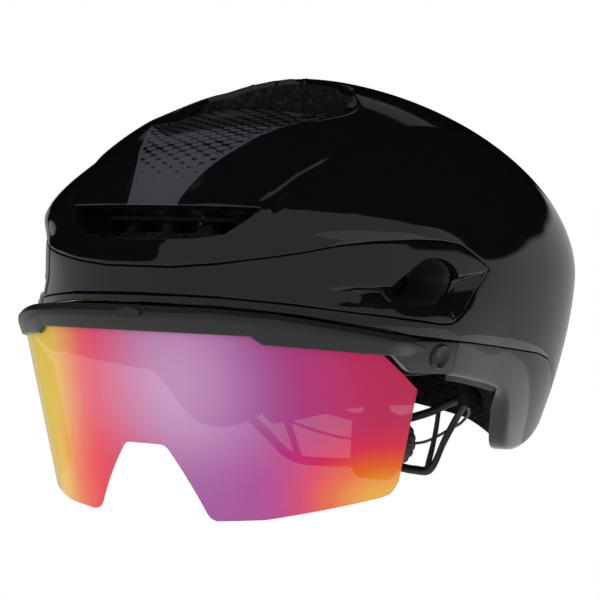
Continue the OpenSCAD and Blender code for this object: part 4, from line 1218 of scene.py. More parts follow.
class Cradle:
    """The fit cradle behind the head: rails, plate and lace.

    Attributes:
        upper: Points of the left upper rail.
        lower: Points of the left lower rail.
        strut: Points of the strut between them.
        lace: Points of the left lace.
    """

    upper: Sequence[Point] = ((10, 71.4, -37.6), (13, 71.2, -37), (24, 66, -34.5), (40, 54, -30.5), (57, 38, -25.5),
                              (73.1, 24, -22.4))
    lower: Sequence[Point] = ((9, 71.4, -58.8), (13, 71.2, -59), (24, 66.5, -59.5), (38, 57, -57.5), (50, 46, -43.5),
                              (62, 35, -31), (73.1, 22, -23.5))
    strut: Sequence[Point] = ((35, 59, -57.5), (38.4, 57, -47), (41.4, 54, -38), (44, 50.5, -29.6))
    lace: Sequence[Point] = ((15.1, 77, -48), (20, 74, -47.6), (28, 70, -46), (38, 63, -42.5), (48, 55, -38.5),
                             (57, 46.5, -35.5), (63, 41, -32), (68, 33.5, -29.8), (72.5, 23.5, -26.6))

    @staticmethod
    def route(points: Sequence[Point], steps: int) -> list[Vector]:
        """Returns a smooth path through points, with that many steps in each span."""
        p = [Vector(points[0]) * 2 - Vector(points[1]), *(Vector(q) for q in points),
             Vector(points[-1]) * 2 - Vector(points[-2])]
        out = [Vector(points[0])]
        for k in range(1, len(p) - 2):
            for s in range(1, steps + 1):
                u = s / steps
                out.append(0.5 * (2 * p[k] + (p[k + 1] - p[k - 1]) * u
                                  + (2 * p[k - 1] - 5 * p[k] + 4 * p[k + 1] - p[k + 2]) * u ** 2
                                  + (3 * p[k] - p[k - 1] - 3 * p[k + 1] + p[k + 2]) * u ** 3))
        return out

    @staticmethod
    def tube(name: str, path: Sequence[Vector], wide: float, tall: float, sides: int) -> Piece:
        """Sweeps an oval of half sizes wide and tall along a path."""
        rings = []
        for k, p in enumerate(path):
            d = (path[min(k + 1, len(path) - 1)] - path[max(k - 1, 0)]).normalized()
            flat = d.cross(Vector((0, 0, 1))).normalized()
            up = flat.cross(d)
            angles = [math.tau * n / sides for n in range(sides)]
            rings.append([p + flat * wide * math.cos(a) + up * tall * math.sin(a) for a in angles])
        return Make.sweep(name, rings)

    def rails(self) -> list[Piece]:
        """Models the rails of both sides."""
        made = []
        for points, wide, tall in ((self.upper, 1.25, 2.0), (self.lower, 1.25, 2.1), (self.strut, 1.1, 1.7)):
            rail = Cradle.tube("rail", Cradle.route(points, 8), wide, tall, 14)
            made += [rail, Make.mirror(rail, "rail_right")]
        return made

    def plate(self) -> Piece:
        """Models the plate that carries the dial, with the neck of the height strip."""
        outline = rounded([(-13, -60), (-9, -66), (9, -66), (13, -60), (13, -36), (6.5, -34), (6.5, -26),
                           (-6.5, -26), (-6.5, -34), (-13, -36)], 3.0)
        rings = [[Vector((x, y, z)) for x, z in outline] for y in (70.3, 72.7)]
        plate = Make.sweep("plate", rings)
        Make.bevel(plate, 0.5)
        return plate

    def build(self) -> Piece:
        """Models the web and returns it."""
        web = Make.join("cradle_rails", [*self.rails(), self.plate()])
        Make.smooth(web, 40)
        return web

    def cord(self) -> Piece:
        """Models the lace of both sides."""
        lace = Cradle.tube("fit_cord", Cradle.route(self.lace, 6), 0.7, 0.7, 10)
        both = Make.join("fit_cord", [lace, Make.mirror(lace, "fit_cord_right")])
        Make.smooth(both, 60)
        return both


Fill = Callable[[Net, Outputs], Sockets]


class Effects:
    """The shader node groups that several finishes share."""

    @staticmethod
    def group(name: str, inputs: dict[str, Optional[float]], outputs: Sequence[str], fill: Fill) -> Tree:
        """Returns a node group, made on first use.

        Args:
            name: The group's name.
            inputs: Default of each input, None for a vector.
            outputs: Names of the outputs, all of them values.
            fill: Lays the nodes between them and gives the outputs' sockets.
        """
        found = bpy.data.node_groups.get(name)
        if found:
            return found
        tree = bpy.data.node_groups.new(name, "ShaderNodeTree")
        for label, value in inputs.items():
            kind = "NodeSocketVector" if value is None else "NodeSocketFloat"
            socket = tree.interface.new_socket(name=label, in_out="INPUT", socket_type=kind)
            if value is not None:
                socket.default_value = value
        for label in outputs:
            tree.interface.new_socket(name=label, in_out="OUTPUT", socket_type="NodeSocketFloat")
        net = Net(tree)
        net.add("NodeGroupOutput", fill(net, net.add("NodeGroupInput").outputs))
        return tree

    @staticmethod
    def scuffs() -> Tree:
        """Returns the group for hairline scratches and handling haze on a hard finish."""

        def fill(net: Net, given: Outputs) -> Sockets:
            haze = net.noise(given["Vector"], given["Scale"], 5.0, 0.62)
            stretched = net.add("ShaderNodeMapping", {"Vector": given["Vector"], "Scale": (1.0, 9.0, 0.6),
                                                      "Rotation": (0.3, 0.5, 0.7)}).outputs[0]
            lines = net.noise(stretched, net.times(given["Scale"], 4.0), 2.0)
            both = net.math("ADD", net.times(net.mapped(lines, 0.66, 0.74), 0.6),
                            net.times(net.mapped(haze, 0.42, 0.7), 0.5))
            return {"Mask": net.times(both, given["Amount"])}

        return Effects.group("scuffs", {"Vector": None, "Scale": 40.0, "Amount": 1.0}, ("Mask",), fill)

    @staticmethod
    def edge_wear() -> Tree:
        """Returns the group that finds worn corners by how bumpy the mesh is there."""

        def fill(net: Net, given: Outputs) -> Sockets:
            sharp = net.mapped(net.add("ShaderNodeNewGeometry").outputs["Pointiness"], 0.57, 0.66)
            broken = net.mapped(net.noise(given["Vector"], 220.0, 3.0), 0.4, 0.62)
            return {"Mask": net.times(sharp, broken, given["Amount"])}

        return Effects.group("edge_wear", {"Vector": None, "Amount": 0.5}, ("Mask",), fill)

    @staticmethod
    def grain() -> Tree:
        """Returns the group for the fine texture of moulded plastic."""

        def fill(net: Net, given: Outputs) -> Sockets:
            cells = net.cells(given["Vector"], given["Scale"], "F1").outputs["Distance"]
            noise = net.noise(given["Vector"], given["Scale"], 4.0)
            return {"Height": net.math("ADD", net.times(cells, 0.5), net.times(noise, 0.8))}

        return Effects.group("grain", {"Vector": None, "Scale": 900.0}, ("Height",), fill)

    @staticmethod
    def beads() -> Tree:
        """Returns the group for foam beads: their height, their tone and the dark joints between them."""

        def fill(net: Net, given: Outputs) -> Sockets:
            joint = net.cells(given["Vector"], given["Scale"], "DISTANCE_TO_EDGE").outputs["Distance"]
            cell = net.cells(given["Vector"], given["Scale"], "F1").outputs["Color"]
            return {"Height": net.mapped(joint, 0.0, 0.22, soft=True),
                    "Tone": net.add("ShaderNodeSeparateColor", {"0": cell}).outputs[0],
                    "Joint": net.mapped(joint, 0.0, 0.07, 1.0, 0.0)}

        return Effects.group("beads", {"Vector": None, "Scale": 300.0}, ("Height", "Tone", "Joint"), fill)

    @staticmethod
    def weave() -> Tree:
        """Returns the group for a plain weave: the threads' height and the shade between them."""

        def fill(net: Net, given: Outputs) -> Sockets:
            u, v = (net.times(part, given["Scale"]) for part in net.parts(given["Vector"])[:2])
            warp, weft = (net.math("ABSOLUTE", net.math("SINE", net.times(w, math.pi))) for w in (u, v))
            cell = net.math("ADD", net.math("FLOOR", u), net.math("FLOOR", v))
            over = net.math("MODULO", net.math("ABSOLUTE", cell), 2.0)
            top = net.math("MAXIMUM", net.times(warp, net.mapped(over, 0, 1, 0.55, 1.0)),
                           net.times(weft, net.mapped(over, 0, 1, 1.0, 0.55)))
            return {"Height": top, "Shade": net.mapped(top, 0.35, 0.8, 1.0, 0.0)}

        return Effects.group("weave", {"Vector": None, "Scale": 900.0}, ("Height", "Shade"), fill)


class Surface:
    """What the procedural materials share."""

    name: str

    def make(self) -> bpy.types.Material:
        """Returns the material, made on first use."""
        found = bpy.data.materials.get(self.name)
        if found:
            return found
        material = bpy.data.materials.new(self.name)
        material.use_nodes = True
        net = Net(material.node_tree)
        surface = net.add("ShaderNodeBsdfPrincipled", self.shade(net))
        net.add("ShaderNodeOutputMaterial", {"Surface": surface.outputs[0]})
        return material

    def shade(self, net: Net) -> dict[str, object]:
        """Returns what the surface shader's inputs get."""
        raise NotImplementedError


@dataclass(frozen=True)
class Finish(Surface):
    """A hard finish: moulded or lacquered plastic, or metal.

    Attributes:
        name: The material's name.
        tone: Its base colour.
        worn: The colour of rubbed corners.
        rough: Its roughness.
        scuff: How much hairlines and haze roughen it.
        wear: How much the corners are rubbed.
        grain: Depth of the moulded texture in mm.
        grain_scale: Grains in a metre.
        metal: How metallic it is.
        shine: Strength of its highlights, 0.5 for plain plastic.
    """

    name: str
    tone: Point
    worn: Point
    rough: float
    scuff: float = 0.08
    wear: float = 0.4
    grain: float = 0.0
    grain_scale: float = 900.0
    metal: float = 0.0
    shine: float = 0.5

    def shade(self, net: Net) -> dict[str, object]:
        """Returns the shader's inputs, with a bump where the finish has a grain."""
        vector = net.place()
        colour, rough = self.look(net, vector)
        out = {"Base Color": colour, "Roughness": rough, "Metallic": self.metal, "Specular IOR Level": self.shine}
        if self.grain > 0:
            grain = net.effect(Effects.grain(), vector, Scale=self.grain_scale)
            out["Normal"] = net.bump(grain["Height"], self.grain, 0.6)
        return out

    def look(self, net: Net, vector: Socket) -> tuple[Socket, Socket]:
        """Returns the colour and the roughness over the surface."""
        scuffs = net.effect(Effects.scuffs(), vector, Amount=self.scuff)["Mask"]
        wear = net.effect(Effects.edge_wear(), vector, Amount=self.wear)["Mask"]
        rough = net.math("ADD", net.math("ADD", self.rough, scuffs), net.times(wear, 0.15))
        return net.mix(wear, self.tone, self.worn), rough


@dataclass(frozen=True)
class ShellLacquer(Finish):
    """Black gloss lacquer with a field of matt cells on the ramp before the top vent, and painted shade on the cells
    behind the ramp's fold.

    Attributes:
        across: Pitch of the cells across the ramp in mm.
        along: Their pitch along it.
        front: Y of the field's front edge in metres.
        back: Y of its back edge.
        border: Width of its plain border.
        foot: Z of its lowest edge.
        ground: The cells' colour.
        fold_painted_shade: Painted shade: the cells' darker colour behind the ramp's fold.
    """

    across: float = 6.2
    along: float = 3.7
    front: float = -0.119
    back: float = -0.0555
    border: float = 0.0015
    foot: float = 0.0502
    ground: Point = (0.045, 0.047, 0.058)
    fold_painted_shade: Point = (0.012, 0.0125, 0.014)

    def look(self, net: Net, vector: Socket) -> tuple[Socket, Socket]:
        """Returns the lacquer's colour and roughness with the dotted field on the ramp, its cells darkened behind the
        fold as painted shade.
        """
        colour, rough = super().look(net, vector)
        flat = net.place((1 / (self.across * MM), 1 / (self.along * MM), 1.0), (0, 0, math.radians(45)), uv=True)
        dots = net.add("ShaderNodeTexVoronoi", {"Vector": flat, "Scale": 1.0, "Randomness": 0.0},
                       voronoi_dimensions="2D")
        x, y, z = net.parts(vector)
        beside = net.math("ADD", x, 0.0133)
        fold = net.math("ADD", -0.0878, net.math("MAXIMUM", net.times(beside, 0.4), net.times(beside, -0.6)))
        # Painted shade: the cells' ground turns darker behind the ramp's fold.
        ground = net.mix(net.mapped(net.math("SUBTRACT", y, fold), 0.0, 0.0015), self.ground, self.fold_painted_shade)
        widening = net.math("POWER", net.mapped(y, self.front, -0.072), 1.3)
        half = net.math("ADD", 0.0162, net.times(widening, 0.0205))
        edge = net.math("SUBTRACT", half, net.mapped(y, -0.098, -0.12, 0.0, 0.004))
        side = net.math("ABSOLUTE", x)
        between = net.math("GREATER_THAN", dots.outputs["Distance"], net.mapped(y, -0.1165, -0.098, 0.7, 0.42))
        dark = net.times(between, net.math("LESS_THAN", side, net.math("SUBTRACT", edge, self.border)))
        field_mask = net.times(net.math("LESS_THAN", side, edge), net.math("GREATER_THAN", z, self.foot),
                               net.math("LESS_THAN", y, self.back))
        matt = net.times(field_mask, net.math("SUBTRACT", 1.0, dark))
        return net.mix(matt, colour, ground), net.math("ADD", rough, net.times(matt, 0.2))


@dataclass(frozen=True)
class Foam(Surface):
    """Black expanded foam with fine beads, lighter specks, and painted shade: a near-black band along the front of its
    lower rim.

    Attributes:
        name: The material's name.
        bead: Width of a bead in mm.
    """

    name: str = "black_foam"
    bead: float = 2.6

    def shade(self, net: Net) -> dict[str, object]:
        """Returns the shader's inputs."""
        vector = net.place()
        beads = net.effect(Effects.beads(), vector, Scale=1 / (self.bead * MM))
        base = net.ramp(beads["Tone"], ((0.0, (0.004, 0.0038, 0.0035)), (0.7, (0.008, 0.0077, 0.0065)),
                                        (1.0, (0.016, 0.015, 0.012))))
        lit = net.mix(net.mapped(net.noise(vector, 700.0, 3.0), 0.6, 0.7, 0.0, 0.5), base, (0.03, 0.028, 0.021))
        colour = net.mix(net.times(beads["Joint"], 0.7), lit, (0.002, 0.002, 0.002))
        _, y, z = net.parts(vector)
        # Painted shade: the foam's lower front edge, which sits in shade behind the lens, turns near black.
        rim = net.times(net.mapped(z, 0.0165, 0.0145), net.mapped(y, -0.04, -0.05))
        return {"Base Color": net.mix(rim, colour, (0.001, 0.001, 0.001)), "Specular IOR Level": 0.15,
                "Roughness": net.mapped(beads["Tone"], 0, 1, 0.62, 0.85), "Normal": net.bump(beads["Height"], 0.5, 0.7)}


@dataclass(frozen=True)
class Fabric(Surface):
    """A woven or knitted cloth.

    Attributes:
        name: The material's name.
        tone: The thread's colour.
        shadow: The colour between threads.
        pitch: Width of a thread in mm.
        depth: Height of a thread in mm.
    """

    name: str
    tone: Point
    shadow: Point
    pitch: float
    depth: float

    def shade(self, net: Net) -> dict[str, object]:
        """Returns the shader's inputs."""
        vector = net.place(turn=(0.6, 0.5, 0.785))
        weave = net.effect(Effects.weave(), vector, Scale=1 / (self.pitch * MM))
        fuzz = net.noise(vector, 260.0, 5.0)
        thread = net.mix(net.mapped(fuzz, 0.3, 0.7, 0.0, 0.5), self.tone, tuple(c * 1.7 for c in self.tone))
        return {"Base Color": net.mix(net.times(weave["Shade"], 0.8), thread, self.shadow), "Sheen Weight": 0.3,
                "Sheen Roughness": 0.5, "Specular IOR Level": 0.3, "Roughness": net.mapped(fuzz, 0.2, 0.8, 0.7, 0.95),
                "Normal": net.bump(weave["Height"], self.depth, 0.8)}


@dataclass(frozen=True)
class MirrorLens(Surface):
    """Tinted lens with a mirror coat that runs from yellow at its ends to magenta and violet, with a painted
    reflection: a pale pink glow near the upper middle.

    Attributes:
        name: The material's name.
        opacity: Share of the light that the coat stops.
        half: Half width of the lens at its middle height in metres.
        upper: The coat's colours across the upper half, by share of the width.
        lower: Its colours across the lower half.
        warm: The lower corner's colours, by share of the way out of it.
    """

    name: str = "mirror_lens"
    opacity: float = 0.75
    half: float = 0.0955
    upper: Stops = ((0.0, (0.95, 0.67, 0.03)), (0.2, (0.98, 0.72, 0.015)), (0.255, (0.98, 0.6, 0.08)),
                    (0.3, (0.98, 0.37, 0.13)), (0.345, (0.97, 0.14, 0.15)), (0.39, (0.93, 0.066, 0.166)),
                    (0.45, (0.8, 0.066, 0.22)), (0.5, (0.66, 0.09, 0.32)), (0.565, (0.55, 0.15, 0.43)),
                    (0.625, (0.54, 0.16, 0.47)), (0.69, (0.5, 0.12, 0.44)), (0.745, (0.45, 0.08, 0.37)),
                    (0.8, (0.48, 0.055, 0.3)), (0.85, (0.55, 0.04, 0.24)), (0.895, (0.62, 0.03, 0.18)),
                    (0.93, (0.62, 0.02, 0.12)), (1.0, (0.6, 0.012, 0.08)))
    lower: Stops = ((0.0, (0.98, 0.67, 0.02)), (0.2, (1.0, 0.68, 0.02)), (0.25, (1.0, 0.54, 0.04)),
                    (0.29, (1.0, 0.25, 0.045)), (0.33, (1.0, 0.09, 0.05)), (0.37, (0.97, 0.012, 0.045)),
                    (0.42, (0.86, 0.01, 0.09)), (0.5, (0.62, 0.02, 0.22)), (0.565, (0.45, 0.045, 0.33)),
                    (0.625, (0.42, 0.06, 0.37)), (0.69, (0.44, 0.045, 0.385)), (0.745, (0.49, 0.022, 0.34)),
                    (0.8, (0.64, 0.01, 0.25)), (0.85, (0.84, 0.004, 0.17)), (0.895, (0.93, 0.004, 0.1)),
                    (0.93, (0.97, 0.01, 0.06)), (1.0, (0.98, 0.1, 0.01)))
    warm: Stops = ((0.0, (0.97, 0.6, 0.006)), (0.35, (0.98, 0.42, 0.004)), (0.65, (0.95, 0.14, 0.006)),
                   (1.0, (0.9, 0.02, 0.06)))

    @staticmethod
    def distance(net: Net, x: Socket, z: Socket, x0: float, z0: float) -> Socket:
        """Returns the distance in metres from a place on the lens."""
        squares = (net.math("POWER", net.math("SUBTRACT", a, b), 2.0) for a, b in ((x, x0), (z, z0)))
        return net.math("SQRT", net.math("ADD", *squares))

    def shade(self, net: Net) -> dict[str, object]:
        """Returns the shader's inputs."""
        x, _, z = net.parts(net.place())
        place = net.mapped(net.math("DIVIDE", x, self.half), -1.0, 1.0)
        colour = net.mix(net.mapped(z, -0.026, -0.058, soft=True), net.ramp(place, self.upper),
                         net.ramp(place, self.lower))
        corner = self.distance(net, x, z, 0.086, -0.066)
        colour = net.mix(net.mapped(corner, 0.034, 0.016, soft=True), colour,
                         net.ramp(net.mapped(corner, 0.002, 0.026), self.warm))
        # Painted reflection: a pale pink glow round a point near the lens's upper middle stands for a soft light
        # mirrored in the coat.
        far = self.distance(net, x, z, 0.016, -0.018)
        colour = net.mix(net.mapped(far, 0.052, 0.0, 0.0, 0.6, soft=True), colour, (0.8, 0.5, 0.76))
        haze = net.mapped(net.noise(net.place(), 30.0, 4.0), 0.3, 0.7, 0.16, 0.2)
        return {"Base Color": colour, "Roughness": haze, "Metallic": 0.1, "Specular IOR Level": 0.25,
                "Coat Weight": 0.15, "Coat Roughness": 0.02, "Alpha": self.opacity}


GLOSS = ShellLacquer("shell_lacquer", (0.0035, 0.0035, 0.0042), (0.02, 0.02, 0.022), 0.045, scuff=0.02, wear=0.15)
PANEL = Finish("panel_lacquer", (0.004, 0.004, 0.0045), (0.02, 0.02, 0.022), 0.05, scuff=0.02, wear=0.2)
COVER = Finish("cover_lacquer", (0.006, 0.006, 0.0068), (0.03, 0.03, 0.032), 0.07, scuff=0.03, wear=0.3)
SATIN = Finish("satin_frame", (0.011, 0.0113, 0.012), (0.05, 0.05, 0.05), 0.27, scuff=0.05, wear=0.4, grain=0.02,
               grain_scale=2500.0, shine=0.4)
MATT = Finish("matt_trim", (0.008, 0.008, 0.008), (0.03, 0.03, 0.03), 0.5, scuff=0.06, wear=0.4, grain=0.05)
NYLON = Finish("nylon_cradle", (0.003, 0.003, 0.0033), (0.02, 0.02, 0.02), 0.42, scuff=0.06, wear=0.5, grain=0.04,
               grain_scale=1500.0, shine=0.18)
# Painted shade: a near-black trim for the vent brace and top-vent sleeve, which sit in shade inside the openings.
SHADED = Finish("vent_trim_painted_shade", (0.0015, 0.0015, 0.0015), (0.01, 0.01, 0.01), 0.45, scuff=0.05, shine=0.12)
RUBBER = Finish("rubber_grip", (0.012, 0.012, 0.012), (0.03, 0.03, 0.03), 0.65, scuff=0.05, grain=0.06)
STEEL = Finish("plated_magnet", (0.55, 0.55, 0.54), (0.8, 0.8, 0.78), 0.22, scuff=0.08, metal=1.0)
BUCKLE = Finish("buckle_plastic", (0.009, 0.009, 0.009), (0.03, 0.03, 0.03), 0.3, scuff=0.06, wear=0.5, grain=0.03)
FOAM = Foam()
LENS = MirrorLens()
LINING = Fabric("pad_cloth", (0.02, 0.02, 0.024), (0.004, 0.004, 0.005), 0.9, 0.25)
WEBBING = Fabric("strap_webbing", (0.018, 0.018, 0.02), (0.004, 0.004, 0.004), 1.3, 0.3)
BRAID = Fabric("lace_braid", (0.012, 0.012, 0.013), (0.006, 0.006, 0.006), 0.5, 0.15)
NODE_FINISH: dict[str, Surface] = {
    "front_vent_brace": SHADED, "top_vent_sleeve": SHADED, "frame_magnets": STEEL, "dock_magnets": STEEL,
    "hinge_pins": NYLON, "cradle_arm": NYLON, "cradle_web": NYLON, "dial_housing": NYLON, "height": NYLON,
    "dial_knob": RUBBER, "grip_pad": RUBBER, "strap_divider": BUCKLE, "buckle": BUCKLE, "strap_anchors": BUCKLE,
    "strap": WEBBING, "fit_lace": BRAID, "foam": FOAM, "main_shell": GLOSS, "brow_panel": PANEL,
    "ear_cover": COVER, "visor_frame": SATIN, "visor_lens": LENS,
}


@dataclass(frozen=True)
class FloorPaint(Surface):
    """The floor's plain matt paint."""

    name: str = "pale_floor"

    def shade(self, net: Net) -> dict[str, object]:
        """Returns the shader's inputs."""
        return {"Base Color": (0.93, 0.93, 0.93, 1), "Roughness": 0.9, "Specular IOR Level": 0.1}


def dress(piece: Piece, finish: Surface) -> Piece:
    """Gives a piece one finish all over and returns it."""
    piece.data.materials.clear()
    piece.data.materials.append(finish.make())
    return piece


@dataclass
class Straps:
    """The chin straps: three runs of flat webbing on each inner wall.

    Attributes:
        width: Width of the webbing.
        thick: Its thickness.
        seat: Its gap to the wall.
        runs: First and last plan angle and height of each run.
        profile: Half of the webbing's section: place across and share of the half thickness.
    """

    width: float = 15.0
    thick: float = 1.2
    seat: float = 0.5
    runs: Sequence[tuple[float, float, float, float]] = ((50, 80, 18, 20), (88, 118, 20, 17), (55.4, 86, 39, 36))
    profile: Table = ((-0.97, 0.7), (-0.88, 1), (-0.5, 1), (0, 1), (0.5, 1), (0.88, 1), (0.97, 0.7))

    def ring(self, t: float, mid: float) -> list[Vector]:
        """Returns the webbing's section at plan angle t about the height mid."""
        middle = self.seat + self.thick / 2
        rows = [(a, -h) for a, h in self.profile] + [(1, 0)] + [(a, h) for a, h in reversed(self.profile)] + [(-1, 0)]
        return [FORM.cavity(t, mid + a * self.width / 2, middle + h * self.thick / 2) for a, h in rows]

    def build(self, side: Side) -> tuple[Piece, float]:
        """Models one side's webbing.

        Args:
            side: The wearer's side.

        Returns:
            The piece and the length in metres that it was cut to.
        """
        pieces, length = [], 0.0
        for number, (t0, t1, z0, z1) in enumerate(self.runs):
            places = [(t0 + (t1 - t0) * k / 32, z0 + (z1 - z0) * k / 32) for k in range(33)]
            centres = [FORM.cavity(t, z, self.seat + self.thick / 2) for t, z in places]
            length += sum((b - a).length for a, b in zip(centres, centres[1:])) * MM
            pieces.append(Make.sweep(f"run_{number}", [self.ring(t * side.value, z) for t, z in places]))
        strap = Make.join(side.label("strap_webbing"), pieces)
        Make.smooth(strap, 50)
        return strap, length


class Padding:
    """The soft pads: cloth blown up a little over the pads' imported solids.

    Attributes:
        voxel: Size of the cloth's faces in mm.
        swell: How far a point may move out.
        pressure: The cloth's inner pressure.
        frames: How many frames the cloth runs.
    """

    voxel: float = 2.2
    swell: float = 1.0
    pressure: float = 4.0
    frames: int = 20

    def build(self, node: Piece, name: str) -> Piece:
        """Puffs a copy of a pad's solid and returns it."""
        Make.deselect()
        pad = node.copy()
        pad.data = node.data.copy()
        Make.call(pad, name)
        for key in list(pad.keys()):
            del pad[key]
        bpy.context.scene.collection.objects.link(pad)
        pad.parent = None
        Make.weld(pad, 0.01)
        Make.modify(pad, "REMESH", mode="VOXEL", voxel_size=self.voxel * MM)
        start = [v.co.copy() for v in pad.data.vertices]
        self.puff(pad)
        for vertex, co in zip(pad.data.vertices, start):
            move = vertex.co - co
            if move.length > self.swell * MM:
                vertex.co = co + move.normalized() * self.swell * MM
        Make.modify(pad, "SUBSURF", levels=1, render_levels=1)
        Make.smooth(pad, 180)
        return pad

    def puff(self, pad: Piece) -> None:
        """Runs the cloth over its frames and keeps its result."""
        scene = bpy.context.scene
        cloth = pad.modifiers.new("Cloth", "CLOTH")
        cloth.settings.use_pressure = True
        cloth.settings.uniform_pressure_force = self.pressure
        cloth.settings.effector_weights.gravity = 0.0
        cloth.point_cache.frame_start, cloth.point_cache.frame_end = 1, self.frames
        for number in range(1, self.frames + 1):
            scene.frame_set(number)
        Make.take(pad)
        bpy.ops.object.modifier_apply(modifier=cloth.name)
        scene.frame_set(1)


@dataclass
class Studio:
    """The pale floor, the soft light and the camera.

    Attributes:
        azimuth: The camera's place round the helmet in degrees, 0 in front.
        elevation: Its height in degrees.
        roll: Its tilt in degrees.
        distance: Its distance in mm.
        target: The point that it looks at in mm.
        lens: Its focal length in mm.
        horizon: The height in degrees of the pale ground's edge that gloss mirrors, by azimuth.
        cards: Light cards that gloss mirrors: lower and upper edge, azimuth, half width and softness in
            degrees, and power.
    """

    azimuth: float = 31.53
    elevation: float = -0.84
    roll: float = 2.79
    distance: float = 895.76
    target: Point = (-1.55, -1.24, 16.82)
    lens: float = 120.0
    horizon: Table = ((-180, 15), (-165, 12), (-150, -3), (-122, -3), (-117, 1.5), (-80, 1.5), (-50, 4.5), (-37, 5),
                      (-31, 12), (-27, 25), (-22, 56), (52, 57), (71, 50), (83, 48), (95, 36), (99, 25), (105, 13),
                      (124, 11), (132, 5), (141, 6), (148, 9), (157, 14), (170, 16), (180, 15))
    cards: Sequence[tuple[float, ...]] = ((33, 43, -160, 13, 1.5, 0.13), (44, 60, -90, 30, 5, 0.1),
                                          (29, 46, -131, 4, 4, 0.1), (-9, 7, -134, 11, 3, 0.35))

    def floor(self) -> None:
        """Adds the pale floor."""
        Make.deselect()
        bpy.ops.mesh.primitive_circle_add(vertices=96, radius=2.6, fill_type="NGON", location=(0, 0, -0.62))
        floor = bpy.context.object
        floor.name = "floor"
        dress(floor, FloorPaint())

    def card(self, net: Net, direction: Sequence[Socket], low: float, high: float, az: float, width: float,
             soft: float) -> Socket:
        """Returns the mask of a soft light card on the sky.

        Args:
            net: The world's nodes.
            direction: Elevation and azimuth of the ray in degrees.
            low: The card's lower edge in degrees.
            high: Its upper edge.
            az: Its middle azimuth.
            width: Its half width.
            soft: Width of its soft edges.
        """
        el, turn = direction
        away = net.math("ABSOLUTE", net.math("WRAP", net.math("SUBTRACT", turn, az), 180.0, -180.0))
        across = net.mapped(away, width, width + soft, 1.0, 0.0, soft=True)
        return net.times(across, net.times(net.mapped(el, low, low + soft, soft=True),
                                           net.mapped(el, high, high + soft, 1.0, 0.0, soft=True)))

    def world(self) -> None:
        """Lights the scene: white all round for the eye and for matt faces, a studio's cards for glossy ones."""
        world = bpy.data.worlds.new("studio")
        bpy.context.scene.world = world
        world.use_nodes = True
        net = Net(world.node_tree)
        x, y, z = net.parts(net.add("ShaderNodeTexCoord").outputs["Generated"])
        el = net.math("DEGREES", net.math("ARCSINE", z))
        az = net.math("DEGREES", net.math("ARCTAN2", x, net.times(y, -1.0)))
        heights = net.ramp(net.mapped(az, -180.0, 180.0),
                           [((turn + 180.0) / 360.0, ((top + 10.0) / 100.0,) * 3) for turn, top in self.horizon])
        above = net.math("SUBTRACT", el, net.mapped(heights, 0.0, 1.0, -10.0, 90.0))
        light = net.mapped(above, -1.2, 1.6, 0.5, 0.0, soft=True)
        for *place, power in self.cards:
            light = net.math("MAXIMUM", light, net.times(self.card(net, (el, az), *place), power))
        tint = net.add("ShaderNodeCombineColor", {"0": net.times(light, 0.97), "1": light,
                                                  "2": net.times(light, 1.03)}).outputs[0]
        path = net.add("ShaderNodeLightPath")
        seen = net.mix(path.outputs["Is Glossy Ray"], (0.95, 0.95, 0.95), tint)
        colour = net.mix(path.outputs["Is Camera Ray"], seen, (1.0, 1.0, 1.0))
        back = net.add("ShaderNodeBackground", {"Color": colour, "Strength": 1.0})
        net.add("ShaderNodeOutputWorld", {"Surface": back.outputs[0]})

    def camera(self) -> None:
        """Places the camera at the photograph's angle."""
        a, e, r = (math.radians(v) for v in (self.azimuth, self.elevation, self.roll))
        back = Vector((math.sin(a) * math.cos(e), -math.cos(a) * math.cos(e), math.sin(e)))
        right = Vector((math.cos(a), math.sin(a), 0.0))
        up = back.cross(right)
        turned = right * math.cos(r) + up * math.sin(r)
        up = up * math.cos(r) - right * math.sin(r)
        place = (Vector(self.target) + back * self.distance) * MM
        data = bpy.data.cameras.new("camera")
        data.lens, data.sensor_width = self.lens, 36.0
        camera = bpy.data.objects.new("camera", data)
        bpy.context.scene.collection.objects.link(camera)
        camera.matrix_world = Matrix((turned, up, back)).transposed().to_4x4()
        camera.location = place
        bpy.context.scene.camera = camera

    def build(self) -> None:
        """Sets up the floor, the light, the camera and the way the image is shown."""
        self.floor()
        self.world()
        self.camera()
        view = bpy.context.scene.view_settings
        view.view_transform, view.look, view.exposure, view.gamma = "Standard", "None", 0.0, 1.0


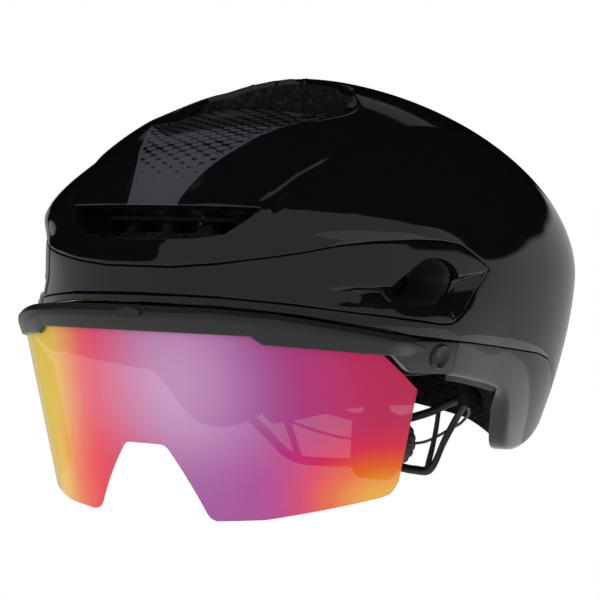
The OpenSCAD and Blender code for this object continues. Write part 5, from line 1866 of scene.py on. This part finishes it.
def settle(piece: Piece, body: Body, slot: str, finish: Surface, *nodes: str) -> Piece:
    """Dresses a new piece, sets it on its body and lets it stand for its nodes.

    Args:
        piece: The piece.
        body: The body that it rides on.
        slot: The record's material slot; not used.
        finish: Its finish.
        nodes: The CAD nodes that it replaces.

    Returns:
        The piece.
    """
    dress(piece, finish)
    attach(piece, body.value)
    if nodes:
        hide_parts(*nodes)
    LOG.info("%s: %d faces, on %s", piece.name, len(piece.data.polygons), body.value)
    return piece


def dress_nodes(frame: dict) -> None:
    """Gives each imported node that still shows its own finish."""
    for name, node in frame["nodes"].items():
        match = max((key for key in NODE_FINISH if name.startswith(key)), key=len, default=None)
        finish = NODE_FINISH[match] if match else (LINING if "pad" in name else MATT)
        for slot in node.material_slots:
            slot.material = finish.make()


def main() -> None:
    """Builds the helmet's pieces in order and dresses them."""
    logging.basicConfig(level=logging.INFO, format="%(name)s %(message)s", stream=sys.stdout)
    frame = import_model()
    Studio().build()
    nodes = frame["nodes"]
    dress_nodes(frame)
    settle(MainShell().build(), Body.HELMET, "shell_gloss", GLOSS, "main_shell")
    settle(BrowPanel().build(), Body.HELMET, "panel_gloss", PANEL, "brow_panel")
    for side in Side:
        settle(DuctSleeve().build(side), Body.HELMET, "trim", MATT, side.label("duct_sleeve"))
    cover = EarCover().build()
    for side, piece in zip(Side, (cover, Make.mirror(cover, "ear_cover_skin_right"))):
        settle(piece, Body.HELMET, "panel_gloss", COVER, side.label("ear_cover"))
    settle(Liner().build(), Body.HELMET, "foam", FOAM, *(n for n in nodes if n.startswith("foam_")))
    settle(Lens().build(), Body.VISOR, "lens", LENS, "visor_lens")
    settle(ShieldFrame().build(), Body.VISOR, "frame_satin", SATIN, "visor_frame")
    cradle = Cradle()
    settle(cradle.build(), Body.CRADLE, "cradle", NYLON, "cradle_web")
    settle(cradle.cord(), Body.CRADLE, "lace", BRAID, "fit_lace")
    straps = Straps()
    for side in Side:
        strap, length = straps.build(side)
        settle(strap, Body.HELMET, "webbing", WEBBING, side.label("strap"))
    padding = Padding()
    for name in ("brow_pad", "crown_pad", "side_pad_left", "side_pad_right", "cradle_pad"):
        body = Body.CRADLE if name == "cradle_pad" else Body.HELMET
        settle(padding.build(nodes[name], f"{name}_cloth"), body, "padding", LINING, name)


if __name__ == "__main__":
    main()
